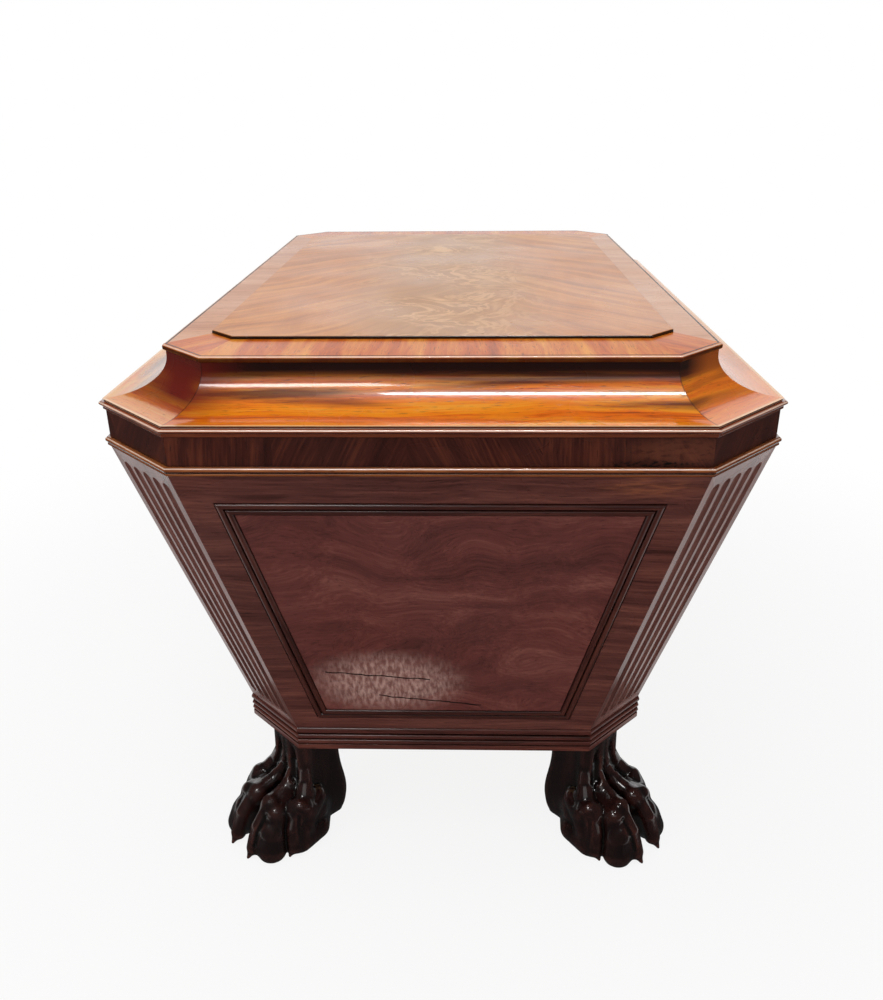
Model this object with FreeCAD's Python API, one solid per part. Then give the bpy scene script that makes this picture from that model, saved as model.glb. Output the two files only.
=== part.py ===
import FreeCAD, Part
import math
import os

# A cellarette: an eight-sided, tapered mahogany wine cooler with a hinged, cavetto-moulded lid,
# fluted cut corners and four carved lion's-paw feet.
# +X runs along the long axis, the lock is in the front (-Y), and the hinges are at the back (+Y).
# The origin is on the floor under the middle of the piece.

V = FreeCAD.Vector

# ---- Driving dimensions (mm) -------------------------------------------------------------------

length = 770.0              # over the lid's lip, end to end
width = 520.0               # over the lid's lip, front to back
lip_cant = 66.0             # length that each cut corner takes off a side, at the lip

foot_height = 114.0         # floor to the underside of the base moulding
base_height = 23.4          # base moulding
body_height = 276.1         # tapered walls, measured upright
lower_bead_height = 6.5     # astragal between the walls and the frieze
frieze_height = 22.2
lid_clearance = 0.4         # joint between the carcase and the closed lid
lip_height = 8.1            # fillet, bead and quirk at the lid's edge
cavetto_rise = 28.6
cavetto_reach = 47.2        # how far the lid's top steps in over the cavetto
neck_height = 3.8           # upright edge between the cavetto and the top plate
plate_thickness = 5.0       # crossbanded border
plate_overhang = 2.2        # of the border's rounded edge over the neck
panel_proud = 2.5           # raised panel over the border

lip_bead_radius = 1.5
lip_fillet_height = 3.2
lip_fillet_inset = 2.5
lip_depth = 42.0            # how wide the lip and cavetto frame is, from the lip inwards
cavetto_inset = 2.8         # from the lip's bead to the cavetto's lower edge
ground_board_thickness = 12.0
frame_shoulder = 14.0       # width of the lid frame's top behind the neck
frame_lap = 4.0             # lid frame's wood under the ground board
border_end = 52.0           # width of the crossbanded border at the short ends
border_side = 30.0          # and along the long sides

frieze_inset = 4.2          # frieze face behind the lip's bead
lower_bead_radius = 2.1
lower_bead_inset = 0.5
lower_fillet_height = 1.9
lower_fillet_inset = 1.8
quirk = 0.6                 # narrow sunk line beside a bead
quirk_depth = 1.4

body_inset = 3.3            # walls behind the lip's bead, at their top
body_lean = 14.81           # degrees from upright
body_bottom_cant = 51.5     # length of a cut corner along a side, at the foot of the walls
wall_thickness = 18.0       # square to the sloping face
stile_width = 23.0          # walls' uprights, measured level
top_rail_width = 25.0       # up the slope, above the panel moulding
bottom_rail_width = 14.6
rail_shoulder = 15.0        # the rails' joint lies this far inside the moulding's outer corners
panel_moulding_width = 11.4
panel_moulding_depth = 8.0
panel_bead_rise = 2.0

flute_count = 5
flute_width_share = 0.70    # of the spacing between flutes
flute_edge = 7.0            # flat margin beside the outer flutes, at the top
flute_depth = 3.6
flute_stop = 12.0           # plain post left above and below the flutes

base_projection = 1.4       # base moulding in front of the walls' lower edge
base_frame_width = 60.0
base_torus = 6.6
base_upper_bead = 4.6
base_lower_bead = 4.2
base_fascia_height = 5.0
bottom_board_thickness = 14.0

liner_thickness = 1.2
liner_rim_drop = 9.0        # liner's edge below the top of the frieze
slat_thickness = 6.0
slat_height = 150.0
bottles_long = 5
bottles_across = 3

hinge_length = 60.0
hinge_spacing = 440.0
hinge_radius = 3.0
hinge_pin_radius = 1.2
hinge_pin_clearance = 0.05
hinge_leaf = 17.0           # leaf, from the pin inwards
hinge_leaf_thickness = 1.8
hinge_axis_inset = 3.0      # pin's centre behind the lip's outer line
knuckle_gap = 0.3
hinge_recess_clearance = 0.6
hinge_end_clearance = 0.3
hinge_knuckles = 5
screw_radius = 1.5
screw_head_radius = 3.0
screw_head_height = 1.3
carcase_screw_length = 13.0
lid_screw_length = 7.5      # stays inside the lip and the thin edge of the cavetto

lock_length = 64.0
lock_depth = 11.0
lock_height = 20.0
lock_setback = 4.0          # wood left in front of the lock
lock_wall = 1.2
bolt_throw = 7.0
bolt_clearance = 0.3
bolt_length = 44.0
bolt_height = 6.0
staple_spacing = 30.0
staple_thickness = 2.4
staple_width = 6.6
staple_drop = 9.4
hook_size = 3.0
link_plate_thickness = 1.5
escutcheon_radius = 4.0
escutcheon_tail = 9.0
escutcheon_rim = 1.2
escutcheon_depth = 1.6
keyhole_radius = 2.0
keyhole_slit = 2.0
spring_length = 10.0
spring_width = 3.0
spring_thickness = 0.8

foot_inset = 34.0           # leg's centre behind the cut corner's face
leg_depth = 47.0
leg_width = 47.0
leg_rounding = 8.0
heel_rounding = 11.0
heel_swell = 4.6            # of the leg's back, near the floor
paw_reach = 52.0            # claws in front of the cut corner's face
paw_width = 89.0            # on the floor, over the outer toes' pads
toe_spread = 13.5           # a middle toe's claw from the paw's centre line
toe_radius = 11.5
toe_gap = 1.0               # from a middle toe to the paw's centre line
toe_bend = 16.0             # of a toe's centre line over the knuckle
ball_radius = 14.0          # pad beside each middle toe
side_pad_radius = 14.0      # pads beside and behind the outer toes
pad_level = 8.0             # middles of the pads above the floor, which cuts them flat
outer_toe_setback = 31.0    # outer toes' tips behind the middle ones
knuckle_height = 52.0
joint_radius = 8.5          # where a tendon meets its toe
tendon_radius = 4.5
claw_radius = 5.0
claw_point = 1.6
sole_wear = 0.5             # how far the round pads are worn flat
tenon_radius = 11.0
tenon_length = 20.0         # into the leg, and as far as the base frame is thick above it

# ---- Levels and plan sizes that follow ---------------------------------------------------------

base_top = foot_height + base_height
body_top = base_top + body_height
frieze_bottom = body_top + lower_bead_height
frieze_top = frieze_bottom + frieze_height
lid_bottom = frieze_top + lid_clearance
cavetto_bottom = lid_bottom + lip_height
neck_bottom = cavetto_bottom + cavetto_rise
plate_bottom = neck_bottom + neck_height
plate_top = plate_bottom + plate_thickness
lid_top = plate_top + panel_proud

CANT_SHRINK = 2 - math.sqrt(2)      # a cut corner's loss of length for each mm of even inset
lean_run = body_height * math.tan(math.radians(body_lean))
wall_level = wall_thickness / math.cos(math.radians(body_lean))
body_cant = lip_cant - CANT_SHRINK * body_inset
neck_inset = cavetto_inset + cavetto_reach
plate_inset = neck_inset - plate_overhang
carcase_inner = body_inset + wall_level


def eight(half_length, half_width, cant, z):
    """The eight corners of a plan, counter-clockwise from the -X end's front corner."""
    a, b, c = half_length, half_width, cant
    plan = [(-a, c - b), (c - a, -b), (a - c, -b), (a, c - b),
            (a, b - c), (a - c, b), (c - a, b), (-a, b - c)]
    return [V(x, y, z) for x, y in plan]


def lip_plan(inset, z):
    """The lip's plan stepped in evenly by inset."""
    return eight(length / 2 - inset, width / 2 - inset, lip_cant - CANT_SHRINK * inset, z)


def wall_plan(share, level_inset, z):
    """The walls' plan at a share of their height from the top, stepped in by level_inset."""
    run = body_inset + lean_run * share + level_inset
    cant = body_cant + (body_bottom_cant - body_cant) * share
    return eight(length / 2 - run, width / 2 - run, cant, z)


def base_plan(inset, z):
    """The base moulding's plan, stepped in evenly by inset."""
    run = body_inset + lean_run - base_projection + inset
    cant = body_bottom_cant + CANT_SHRINK * (base_projection - inset)
    return eight(length / 2 - run, width / 2 - run, cant, z)


# The eight sides run from corner i to corner i + 1 of a plan.
CORNERS = {"front_left": 0, "front_right": 2, "back_right": 4, "back_left": 6}
SIDES = {"front": 1, "back": 5}
ENDS = {"right": 3, "left": 7}

# ---- Shape helpers -----------------------------------------------------------------------------

parts = {}


def add(name, *shapes):
    """One named node: a single solid, or a group of separate solids of the same kind."""
    parts[name] = shapes[0] if len(shapes) == 1 else Part.makeCompound(list(shapes))


def face_of(points):
    return Part.Face(Part.makePolygon(points + points[:1]))


def prism(points, rise):
    """A flat outline raised by a vector."""
    return face_of(points).extrude(rise)


def upright(plan, height):
    return prism(plan, V(0, 0, height))


def polyhedron(bottom, top):
    """A solid between two outlines with as many corners, all its sides flat."""
    count = len(bottom)
    faces = [face_of(bottom), face_of(top)]
    for i in range(count):
        j = (i + 1) % count
        faces.append(face_of([bottom[i], bottom[j], top[j], top[i]]))
    solid = Part.Solid(Part.Shell(faces))
    if solid.Volume < 0:
        solid.reverse()
    return solid


def box(x0, x1, y0, y1, z0, z1):
    return Part.makeBox(x1 - x0, y1 - y0, z1 - z0, V(x0, y0, z0))


def rod(start, end, radius):
    return Part.makeCylinder(radius, (end - start).Length, start, end - start)


def step_in(corners, up, inset):
    """A convex loop moved inwards by inset, within its own plane."""
    count = len(corners)
    runs = [(corners[(i + 1) % count] - corners[i]).normalize() for i in range(count)]
    inward = [up.cross(run) for run in runs]
    moved = []
    for i, corner in enumerate(corners):
        before, after = inward[i - 1], inward[i]
        moved.append(corner + (before + after) * (inset / (1 + before.dot(after))))
    return moved


def section(start, *steps):
    """A moulding's section as a face: x is the depth in from the outer line, y the height.
    A step is a point for a straight line, or a pair of points for an arc through the first."""
    edges = []
    here = V(start[0], start[1], 0)
    for step in steps:
        if isinstance(step[0], tuple):
            through, end = (V(p[0], p[1], 0) for p in step)
            edges.append(Part.Arc(here, through, end).toShape())
        else:
            end = V(step[0], step[1], 0)
            edges.append(Part.LineSegment(here, end).toShape())
        here = end
    edges.append(Part.LineSegment(here, V(start[0], start[1], 0)).toShape())
    return Part.Face(Part.Wire(edges))


def half_round(radius, height, depth=0.0):
    """The two points of a bead's arc, for section(), from its lower edge at that height."""
    return ((depth, height + radius), (depth + radius, height + 2 * radius))


def mitred_lengths(corners, up, profile):
    """A moulding around a flat, convex loop: one solid for each side, mitred at every corner."""
    bounds = profile.BoundBox
    outer = step_in(corners, up, -1)
    inner = step_in(corners, up, bounds.XMax + 0.01)
    low, rise = up * (bounds.YMin - 1), up * (bounds.YLength + 2)
    lengths = []
    for i, corner in enumerate(corners):
        j = (i + 1) % len(corners)
        run = corners[j] - corner
        along = V(run).normalize()
        inward = up.cross(along)
        place = FreeCAD.Matrix(inward.x, up.x, along.x, corner.x,
                               inward.y, up.y, along.y, corner.y,
                               inward.z, up.z, along.z, corner.z,
                               0, 0, 0, 1)
        strip = profile.copy()
        strip.Placement = FreeCAD.Placement(place)
        strip = strip.extrude(run)
        wedge = prism([p + low for p in (outer[i], outer[j], inner[j], inner[i])], rise)
        lengths.append(strip.common(wedge).Solids[0])
    return lengths


def add_ring(name, corners, profile):
    """An eight-sided moulding as three nodes: its end, side and cut-corner lengths."""
    lengths = mitred_lengths(corners, V(0, 0, 1), profile)
    add(name + "_ends", *[lengths[i] for i in ENDS.values()])
    add(name + "_sides", *[lengths[i] for i in SIDES.values()])
    add(name + "_corners", *[lengths[i] for i in CORNERS.values()])


def cut(name, *tools):
    """Take tools away from a node, keeping its group of solids."""
    solids = []
    for solid in parts[name].Solids:
        near = [tool for tool in tools if tool.BoundBox.intersect(solid.BoundBox)]
        solids += solid.cut(near).Solids if near else [solid]
    add(name, *solids)


# ---- Lid ---------------------------------------------------------------------------------------

def lid_panel_plan(z):
    """The raised panel: narrower borders along the sides than at the ends."""
    cant = lip_cant - CANT_SHRINK * (plate_inset + border_side)
    return eight(length / 2 - plate_inset - border_end, width / 2 - plate_inset - border_side, cant, z)


def build_lid():
    panel = upright(lid_panel_plan(plate_bottom), plate_thickness + panel_proud)
    edges = [e for e in panel.Edges if e.BoundBox.ZMin > lid_top - 0.01]
    add("lid_flame_panel", panel.makeChamfer(panel_proud * 0.3, edges))

    # Each length of the border runs from the plate's edge to the raised panel, mitred at its ends.
    outer = lip_plan(plate_inset, plate_bottom)
    inner = lid_panel_plan(plate_bottom)
    nose = plate_thickness / 2
    lengths = []
    for i in range(8):
        j = (i + 1) % 8
        strip = prism([outer[i], outer[j], inner[j], inner[i]], V(0, 0, plate_thickness))
        rim = [e for e in strip.Edges if abs(e.Length - (outer[j] - outer[i]).Length) < 0.01
               and (e.CenterOfMass - (outer[i] + outer[j]) * 0.5).cross(V(0, 0, 1)).Length < 0.01]
        lengths.append(strip.makeFillet(nose * 0.9, rim))
    add("lid_crossband_ends", *[lengths[i] for i in ENDS.values()])
    add("lid_crossband_sides", *[lengths[i] for i in SIDES.values()])
    add("lid_crossband_corners", *[lengths[i] for i in CORNERS.values()])

    board_inset = neck_inset + frame_shoulder
    board = lip_plan(board_inset, plate_bottom - ground_board_thickness)
    add("lid_ground_board", upright(board, ground_board_thickness))

    # The cavetto is a quarter ellipse, hollow to the outside, with an upright neck above it.
    rise, reach, foot = cavetto_rise, cavetto_reach, cavetto_inset
    turns = [math.radians(18 * k) for k in range(6)]
    hollow = [V(foot + reach * math.sin(t), rise * (1 - math.cos(t)), 0) for t in turns]
    curve = Part.BSplineCurve()
    curve.interpolate(Points=hollow, InitialTangent=V(1, 0, 0), FinalTangent=V(0, 1, 0), Scale=False)
    top = rise + neck_height
    back = [hollow[-1], V(neck_inset, top, 0), V(board_inset, top, 0),
            V(board_inset, top - ground_board_thickness - frame_lap, 0), V(lip_depth, 0, 0), hollow[0]]
    profile = Part.Face(Part.Wire([curve.toShape()] + Part.makePolygon(back).Edges))
    add_ring("lid_cavetto", lip_plan(0, cavetto_bottom), profile)

    # Lip: plain fillet, bead, then a quirk under the cavetto's edge.
    bead = lip_bead_radius
    bead_top = lip_fillet_height + 2 * bead
    sunk = lip_fillet_inset + quirk_depth
    profile = section((lip_depth, 0), (lip_fillet_inset, 0), (lip_fillet_inset, lip_fillet_height),
                      (bead, lip_fillet_height), half_round(bead, lip_fillet_height),
                      (sunk, bead_top), (sunk, lip_height), (lip_depth, lip_height))
    add_ring("lid_lip", lip_plan(0, lid_bottom), profile)


# ---- Carcase -----------------------------------------------------------------------------------

def build_frieze():
    profile = section((carcase_inner, 0), (frieze_inset, 0), (frieze_inset, frieze_height),
                      (carcase_inner, frieze_height))
    lengths = mitred_lengths(lip_plan(0, frieze_bottom), V(0, 0, 1), profile)
    add("frieze_front", lengths[SIDES["front"]])
    add("frieze_back", lengths[SIDES["back"]])
    add("frieze_ends", *[lengths[i] for i in ENDS.values()])
    add("frieze_corners", *[lengths[i] for i in CORNERS.values()])

    bead = lower_bead_radius
    low = lower_bead_height - 2 * bead
    sunk = lower_fillet_inset + quirk_depth
    profile = section((carcase_inner, 0), (lower_fillet_inset, 0),
                      (lower_fillet_inset, lower_fillet_height), (sunk, lower_fillet_height),
                      (sunk, low), (lower_bead_inset + bead, low),
                      half_round(bead, low, lower_bead_inset), (carcase_inner, lower_bead_height))
    add_ring("lower_bead", lip_plan(0, body_top), profile)


def wall_block(i):
    """One of the eight sloping sides as a plain block, mitred to its neighbours."""
    j = (i + 1) % 8
    outer_top, inner_top = wall_plan(0, 0, body_top), wall_plan(0, wall_level, body_top)
    outer_low, inner_low = wall_plan(1, 0, base_top), wall_plan(1, wall_level, base_top)
    return polyhedron([outer_low[i], outer_low[j], inner_low[j], inner_low[i]],
                      [outer_top[i], outer_top[j], inner_top[j], inner_top[i]])


def wall_axes(i):
    """A wall's outer face: middle of its top edge, run to the right, way up the slope, outward."""
    j = (i + 1) % 8
    top, low = wall_plan(0, 0, body_top), wall_plan(1, 0, base_top)
    origin = (top[i] + top[j]) * 0.5
    along = V(top[j] - top[i])
    slope = origin - (low[i] + low[j]) * 0.5
    sizes = (along.Length / 2, (low[j] - low[i]).Length / 2, slope.Length)
    along.normalize()
    slope.normalize()
    return origin, along, slope, along.cross(slope), sizes


def panel_moulding_section():
    """Two beads side by side, with quirks between and beside them, on a flat back."""
    bead = (panel_moulding_width - 3 * quirk) / 4
    low, crown = -quirk_depth / 2, panel_bead_rise
    first, second = quirk + bead, 2 * quirk + 3 * bead
    depth = -panel_moulding_depth
    return section((0, depth), (0, low), (first - bead, low), ((first, crown), (first + bead, low)),
                   (second - bead, low), ((second, crown), (second + bead, low)),
                   (panel_moulding_width, low), (panel_moulding_width, depth))


def build_wall(name, i):
    """A wall as rails and stiles around a rebated panel, with its moulding planted in the rebate."""
    origin, along, slope, out, (half_top, half_low, height) = wall_axes(i)

    def on_face(x, y):
        return origin + along * x + slope * y

    def half_at(y):
        return half_top + (half_low - half_top) * (-y / height)

    top, low = -top_rail_width, bottom_rail_width - height
    opening = [on_face(-(half_at(low) - stile_width), low), on_face(half_at(low) - stile_width, low),
               on_face(half_at(top) - stile_width, top), on_face(-(half_at(top) - stile_width), top)]
    inner = step_in(opening, out, panel_moulding_width)
    through = out * -(wall_thickness * 2)
    block = wall_block(i)
    frame = block.cut(prism([p + out for p in opening], through))

    # The rails run the full width; the stiles stand between their shoulders.
    far = half_top * 2
    level_top, level_low = top - rail_shoulder, low + rail_shoulder
    upper = prism([on_face(x, y) + out for x, y in
                   ((-far, level_top), (far, level_top), (far, height), (-far, height))], through)
    lower = prism([on_face(x, y) + out for x, y in
                   ((-far, -2 * height), (far, -2 * height), (far, level_low), (-far, level_low))], through)
    rails = [frame.common(upper).Solids[0], frame.common(lower).Solids[0]]
    stiles = frame.cut([upper, lower]).Solids
    add(name + "_frame", *(rails + stiles))

    tongue = prism([p + out * -panel_moulding_depth for p in opening],
                   out * (panel_moulding_depth - wall_thickness))
    field = prism(inner, out * -panel_moulding_depth)
    add(name + "_panel", field.fuse(tongue).removeSplitter())
    add(name + "_moulding", *mitred_lengths(opening, out, panel_moulding_section()))


def build_post(name, i):
    """A cut-corner post with stopped flutes that narrow as the corner does."""
    origin, along, slope, out, (half_top, half_low, height) = wall_axes(i)
    post = wall_block(i)
    tools = []
    for k in range(flute_count):
        place = (2 * k + 1) / flute_count - 1
        ends = []
        for y in (-flute_stop, flute_stop - height):
            half = half_top + (half_low - half_top) * (-y / height)
            usable = half - flute_edge * half / half_top
            wide = 2 * usable / flute_count * flute_width_share
            radius = (wide * wide / 4 + flute_depth ** 2) / (2 * flute_depth)
            centre = origin + along * (usable * place) + slope * y + out * (radius - flute_depth)
            inner_end = centre + slope * (-wide / 2 if y == -flute_stop else wide / 2)
            ends.append((inner_end, radius))
        (upper, upper_radius), (lower, lower_radius) = ends
        run = upper - lower
        cone = Part.makeCone(lower_radius, upper_radius, run.Length, lower, run)
        tools += [cone, Part.makeSphere(upper_radius, upper), Part.makeSphere(lower_radius, lower)]
    add(name, post.cut(tools).Solids[0])


def build_base():
    # From the top: torus, bead, quirk, bead, quirk and a plain fascia.
    fascia_face, bead_face = 0.8, 0.3
    torus, upper, lower = base_torus / 2, base_upper_bead / 2, base_lower_bead / 2
    spare = base_height - base_torus - base_upper_bead - base_lower_bead - base_fascia_height
    line = spare / 3
    sunk = fascia_face + quirk_depth
    low_bead = base_fascia_height + line
    up_bead = low_bead + base_lower_bead + line
    low_torus = up_bead + base_upper_bead + line
    profile = section((base_frame_width, 0), (fascia_face, 0), (fascia_face, base_fascia_height),
                      (sunk, base_fascia_height), (sunk, low_bead), (bead_face + lower, low_bead),
                      half_round(lower, low_bead, bead_face), (sunk + lower, low_bead + base_lower_bead),
                      (sunk + lower, up_bead), (bead_face + upper, up_bead),
                      half_round(upper, up_bead, bead_face), (sunk + upper, up_bead + base_upper_bead),
                      (sunk + upper, low_torus), (torus, low_torus), half_round(torus, low_torus),
                      (base_frame_width, base_height))
    add_ring("base_moulding", base_plan(0, foot_height), profile)
    board = base_plan(base_frame_width, base_top - bottom_board_thickness)
    add("bottom_board", upright(board, bottom_board_thickness))


def cavity(inset, floor, rim):
    """The space inside the walls and the frieze, stepped in by inset."""
    share = (body_top - floor) / body_height
    mouth = wall_plan(0, wall_level + inset, body_top)
    well = polyhedron(wall_plan(share, wall_level + inset, floor), mouth)
    return well.fuse(upright(mouth, rim - body_top)).removeSplitter()


def build_inside():
    rim = frieze_top - liner_rim_drop
    floor = base_top + liner_thickness
    add("liner", cavity(0, base_top, rim).cut(cavity(liner_thickness, floor, rim + 1)))

    # Slats stand on the liner's floor and follow its slope at their ends; they are halved together.
    room = cavity(liner_thickness, floor, rim)
    lowest = wall_plan((body_top - floor) / body_height, wall_level + liner_thickness, floor)
    room_length, room_width = lowest[3].x * 2, lowest[5].y * 2
    half = slat_thickness / 2
    middle, top = floor + slat_height / 2, floor + slat_height
    across = [room_width * (k / bottles_across - 0.5) for k in range(1, bottles_across)]
    along = [room_length * (k / bottles_long - 0.5) for k in range(1, bottles_long)]
    long_slats, cross_slats = [], []
    for y in across:
        slat = room.common(box(-length, length, y - half, y + half, floor, top))
        notches = [box(x - half, x + half, -width, width, middle, top + 1) for x in along]
        long_slats.append(slat.cut(notches).Solids[0])
    for x in along:
        slat = room.common(box(x - half, x + half, -width, width, floor, top))
        notches = [box(-length, length, y - half, y + half, floor - 1, middle) for y in across]
        cross_slats.append(slat.cut(notches).Solids[0])
    add("divider_long_slats", *long_slats)
    add("divider_cross_slats", *cross_slats)


# ---- Feet --------------------------------------------------------------------------------------

def rounded_plan(back, front, half, radius, z):
    """A leg's plan at one level, with rounded corners."""
    corners = [V(back, -half, z), V(front, -half, z), V(front, half, z), V(back, half, z)]
    turns = []
    for i, corner in enumerate(corners):
        to_last = (corners[i - 1] - corner).normalize()
        to_next = (corners[(i + 1) % 4] - corner).normalize()
        start, end = corner + to_last * radius, corner + to_next * radius
        centre = start + to_next * radius
        middle = centre + (corner - centre).normalize() * radius
        turns.append((start, middle, end))
    loop = []
    for i, (start, middle, end) in enumerate(turns):
        loop.append(Part.Arc(start, middle, end).toShape())
        loop.append(Part.LineSegment(end, turns[(i + 1) % 4][0]).toShape())
    return Part.Wire(loop)


def leg():
    """The square leg with rounded corners, which swells into the heel."""
    back, front = -foot_inset - leg_depth / 2, -foot_inset + leg_depth / 2
    half, soft, round_heel, swell = leg_width / 2, leg_rounding, heel_rounding, heel_swell
    levels = [rounded_plan(back, front, half, soft, foot_height),
              rounded_plan(back, front - swell * 0.5, half * 0.96, soft, foot_height * 0.8),
              rounded_plan(back - swell * 0.2, front + swell * 0.5, half, soft, foot_height * 0.63),
              rounded_plan(back - swell, front + swell, half + swell * 0.8, round_heel, foot_height * 0.18),
              rounded_plan(back - swell * 0.5, front + swell, half + swell * 0.6, round_heel, 0)]
    return Part.makeLoft(levels, True, False)


def limb(side, *joints):
    """A tendon, claw or pad: round joints with slightly slimmer, tapering stretches between.
    A joint is (x, y, z, radius), and side mirrors y across the paw's centre line."""
    slim = 0.95
    places = [(V(x, side * y, z), radius) for x, y, z, radius in joints]
    solids = [Part.makeSphere(radius, centre) for centre, radius in places]
    for (start, r0), (end, r1) in zip(places, places[1:]):
        run = end - start
        solids.append(Part.makeCone(r0 * slim, r1 * slim, run.Length, start, run))
    return solids


def toe(side, radius, bend, *points):
    """A toe: a round bar bent over its knuckle, with the ball of the toe at its end."""
    start, corner, tip = [V(x, side * y, z) for x, y, z in points]
    back, ahead = (start - corner).normalize(), (tip - corner).normalize()
    half_angle = back.getAngle(ahead) / 2
    setback = bend / math.tan(half_angle)
    inside = (back + ahead).normalize()
    first, last = corner + back * setback, corner + ahead * setback
    crown = corner + inside * (bend / math.sin(half_angle) - bend)
    path = Part.Wire([Part.LineSegment(start, first).toShape(), Part.Arc(first, crown, last).toShape(),
                      Part.LineSegment(last, tip).toShape()])
    ring = Part.Wire(Part.Circle(start, back, radius).toShape())
    return [path.makePipeShell([ring], True, False), Part.makeSphere(radius * 1.03, tip)]


def paw():
    """A lion's paw on its leg. x runs outwards from the cut corner's face, z up from the floor."""
    front = -foot_inset + leg_depth / 2
    ankle, neck = foot_height * 0.63, foot_height * 0.85
    near, far = toe_radius + toe_gap, paw_width / 2 - toe_radius
    tip = paw_reach - toe_radius
    outer_tip = tip - outer_toe_setback
    low = toe_radius * 1.03 - sole_wear
    knuckle = knuckle_height - toe_radius
    palm = paw_width * 0.33
    ball, pad = ball_radius, side_pad_radius
    claw_end = claw_point + 0.6
    pieces = []
    for side in (-1, 1):
        pieces += limb(side, (-tip * 0.2, paw_width / 2 - palm - 3, palm * 0.84, palm))
        pieces += toe(side, toe_radius, toe_bend, (-tip * 0.2, near * 0.8, knuckle_height * 0.86),
                      (tip * 0.48, near, knuckle_height * 0.84), (tip, near, low))
        pieces += toe(side, toe_radius, toe_bend, (-tip * 0.3, far * 0.72, knuckle_height * 0.84),
                      (outer_tip * 0.8, far, knuckle_height * 0.84), (outer_tip, far, low))
        pieces += limb(side, (tip * 0.40, near * 0.98, knuckle, toe_radius * 1.08))
        pieces += limb(side, (outer_tip * 0.3, far * 0.98, knuckle, toe_radius * 1.05))
        pieces += limb(side, (tip * 0.77, near + ball * 0.93, pad_level, ball),
                       (tip * 0.66, near + ball * 0.9, pad_level * 2, ball * 0.9))
        pieces += limb(side, (outer_tip * 0.5, paw_width / 2 - pad * 0.87, pad_level, pad),
                       (-tip * 0.42, paw_width / 2 - pad * 1.08, pad_level * 0.98, pad * 0.96),
                       (-tip * 0.75, paw_width / 2 - pad * 1.8, pad_level * 0.9, pad * 0.86))
        pieces += limb(side, (front - tendon_radius, near * 0.4, neck, tendon_radius),
                       (front - 1, near * 0.5, ankle, tendon_radius * 1.3),
                       (tip * 0.06, near * 0.75, knuckle_height, joint_radius))
        pieces += limb(side, (front - tendon_radius * 2, near * 1.3, neck, tendon_radius * 0.9),
                       (front - joint_radius, near * 1.4, ankle, tendon_radius * 1.2),
                       (-tip * 0.16, far * 0.7, knuckle_height * 0.96, joint_radius * 0.95))
        pieces += limb(side, (tip + claw_radius, toe_spread, toe_radius, claw_radius),
                       (paw_reach - claw_point, toe_spread, claw_end, claw_point))
        pieces += limb(side, (outer_tip + claw_radius * 1.6, far * 1.12, toe_radius, claw_radius * 0.9),
                       (outer_tip + toe_radius, far * 1.18, claw_end, claw_point))
    whole = leg()
    for piece in pieces:
        whole = whole.fuse(piece)
    reach = paw_width * 2
    room = box(-reach, reach, -reach, reach, 0, foot_height)
    return whole.common(room).Solids[0]


def build_feet():
    corners = base_plan(0, 0)
    foot = paw()
    tenons = []
    for name, i in CORNERS.items():
        face = (corners[i] + corners[i + 1]) * 0.5
        turn = math.degrees(math.atan2(math.copysign(1, face.y), math.copysign(1, face.x)))
        spot = FreeCAD.Placement(face, FreeCAD.Rotation(V(0, 0, 1), turn))
        placed = foot.copy()
        placed.Placement = spot.multiply(placed.Placement)
        middle = spot.multVec(V(-foot_inset, 0, 0))
        low, top = foot_height - tenon_length, base_top - bottom_board_thickness
        tenon = rod(V(middle.x, middle.y, low), V(middle.x, middle.y, top), tenon_radius)
        tenons.append(tenon)
        add("paw_foot_" + name, placed)
        cut("paw_foot_" + name, tenon)
    add("foot_tenons", *tenons)
    cut("base_moulding_corners", *tenons)


# ---- Hinges ------------------------------------------------------------------------------------

def screw(head, down, full_length):
    """A countersunk screw from the middle of its head, pointing along down."""
    cone = Part.makeCone(screw_head_radius, screw_radius, screw_head_height, head, down)
    neck = head + down * screw_head_height
    shank = Part.makeCylinder(screw_radius, full_length - screw_head_height, neck, down)
    return cone.fuse(shank).removeSplitter()


def knuckles(start, mine):
    """The knuckles that belong to one leaf, and the room that the other leaf's knuckles need."""
    pitch = hinge_length / hinge_knuckles
    half_gap = V(knuckle_gap / 2, 0, 0)
    barrel, room = [], []
    for k in range(hinge_knuckles):
        near, far = start + V(k * pitch, 0, 0), start + V((k + 1) * pitch, 0, 0)
        if k in mine:
            barrel_start = near + half_gap if k > 0 else near
            barrel_end = far - half_gap if k < hinge_knuckles - 1 else far
            barrel.append(rod(barrel_start, barrel_end, hinge_radius))
        else:
            room.append(rod(near - half_gap, far + half_gap, hinge_radius + knuckle_gap))
    return barrel, room


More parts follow.
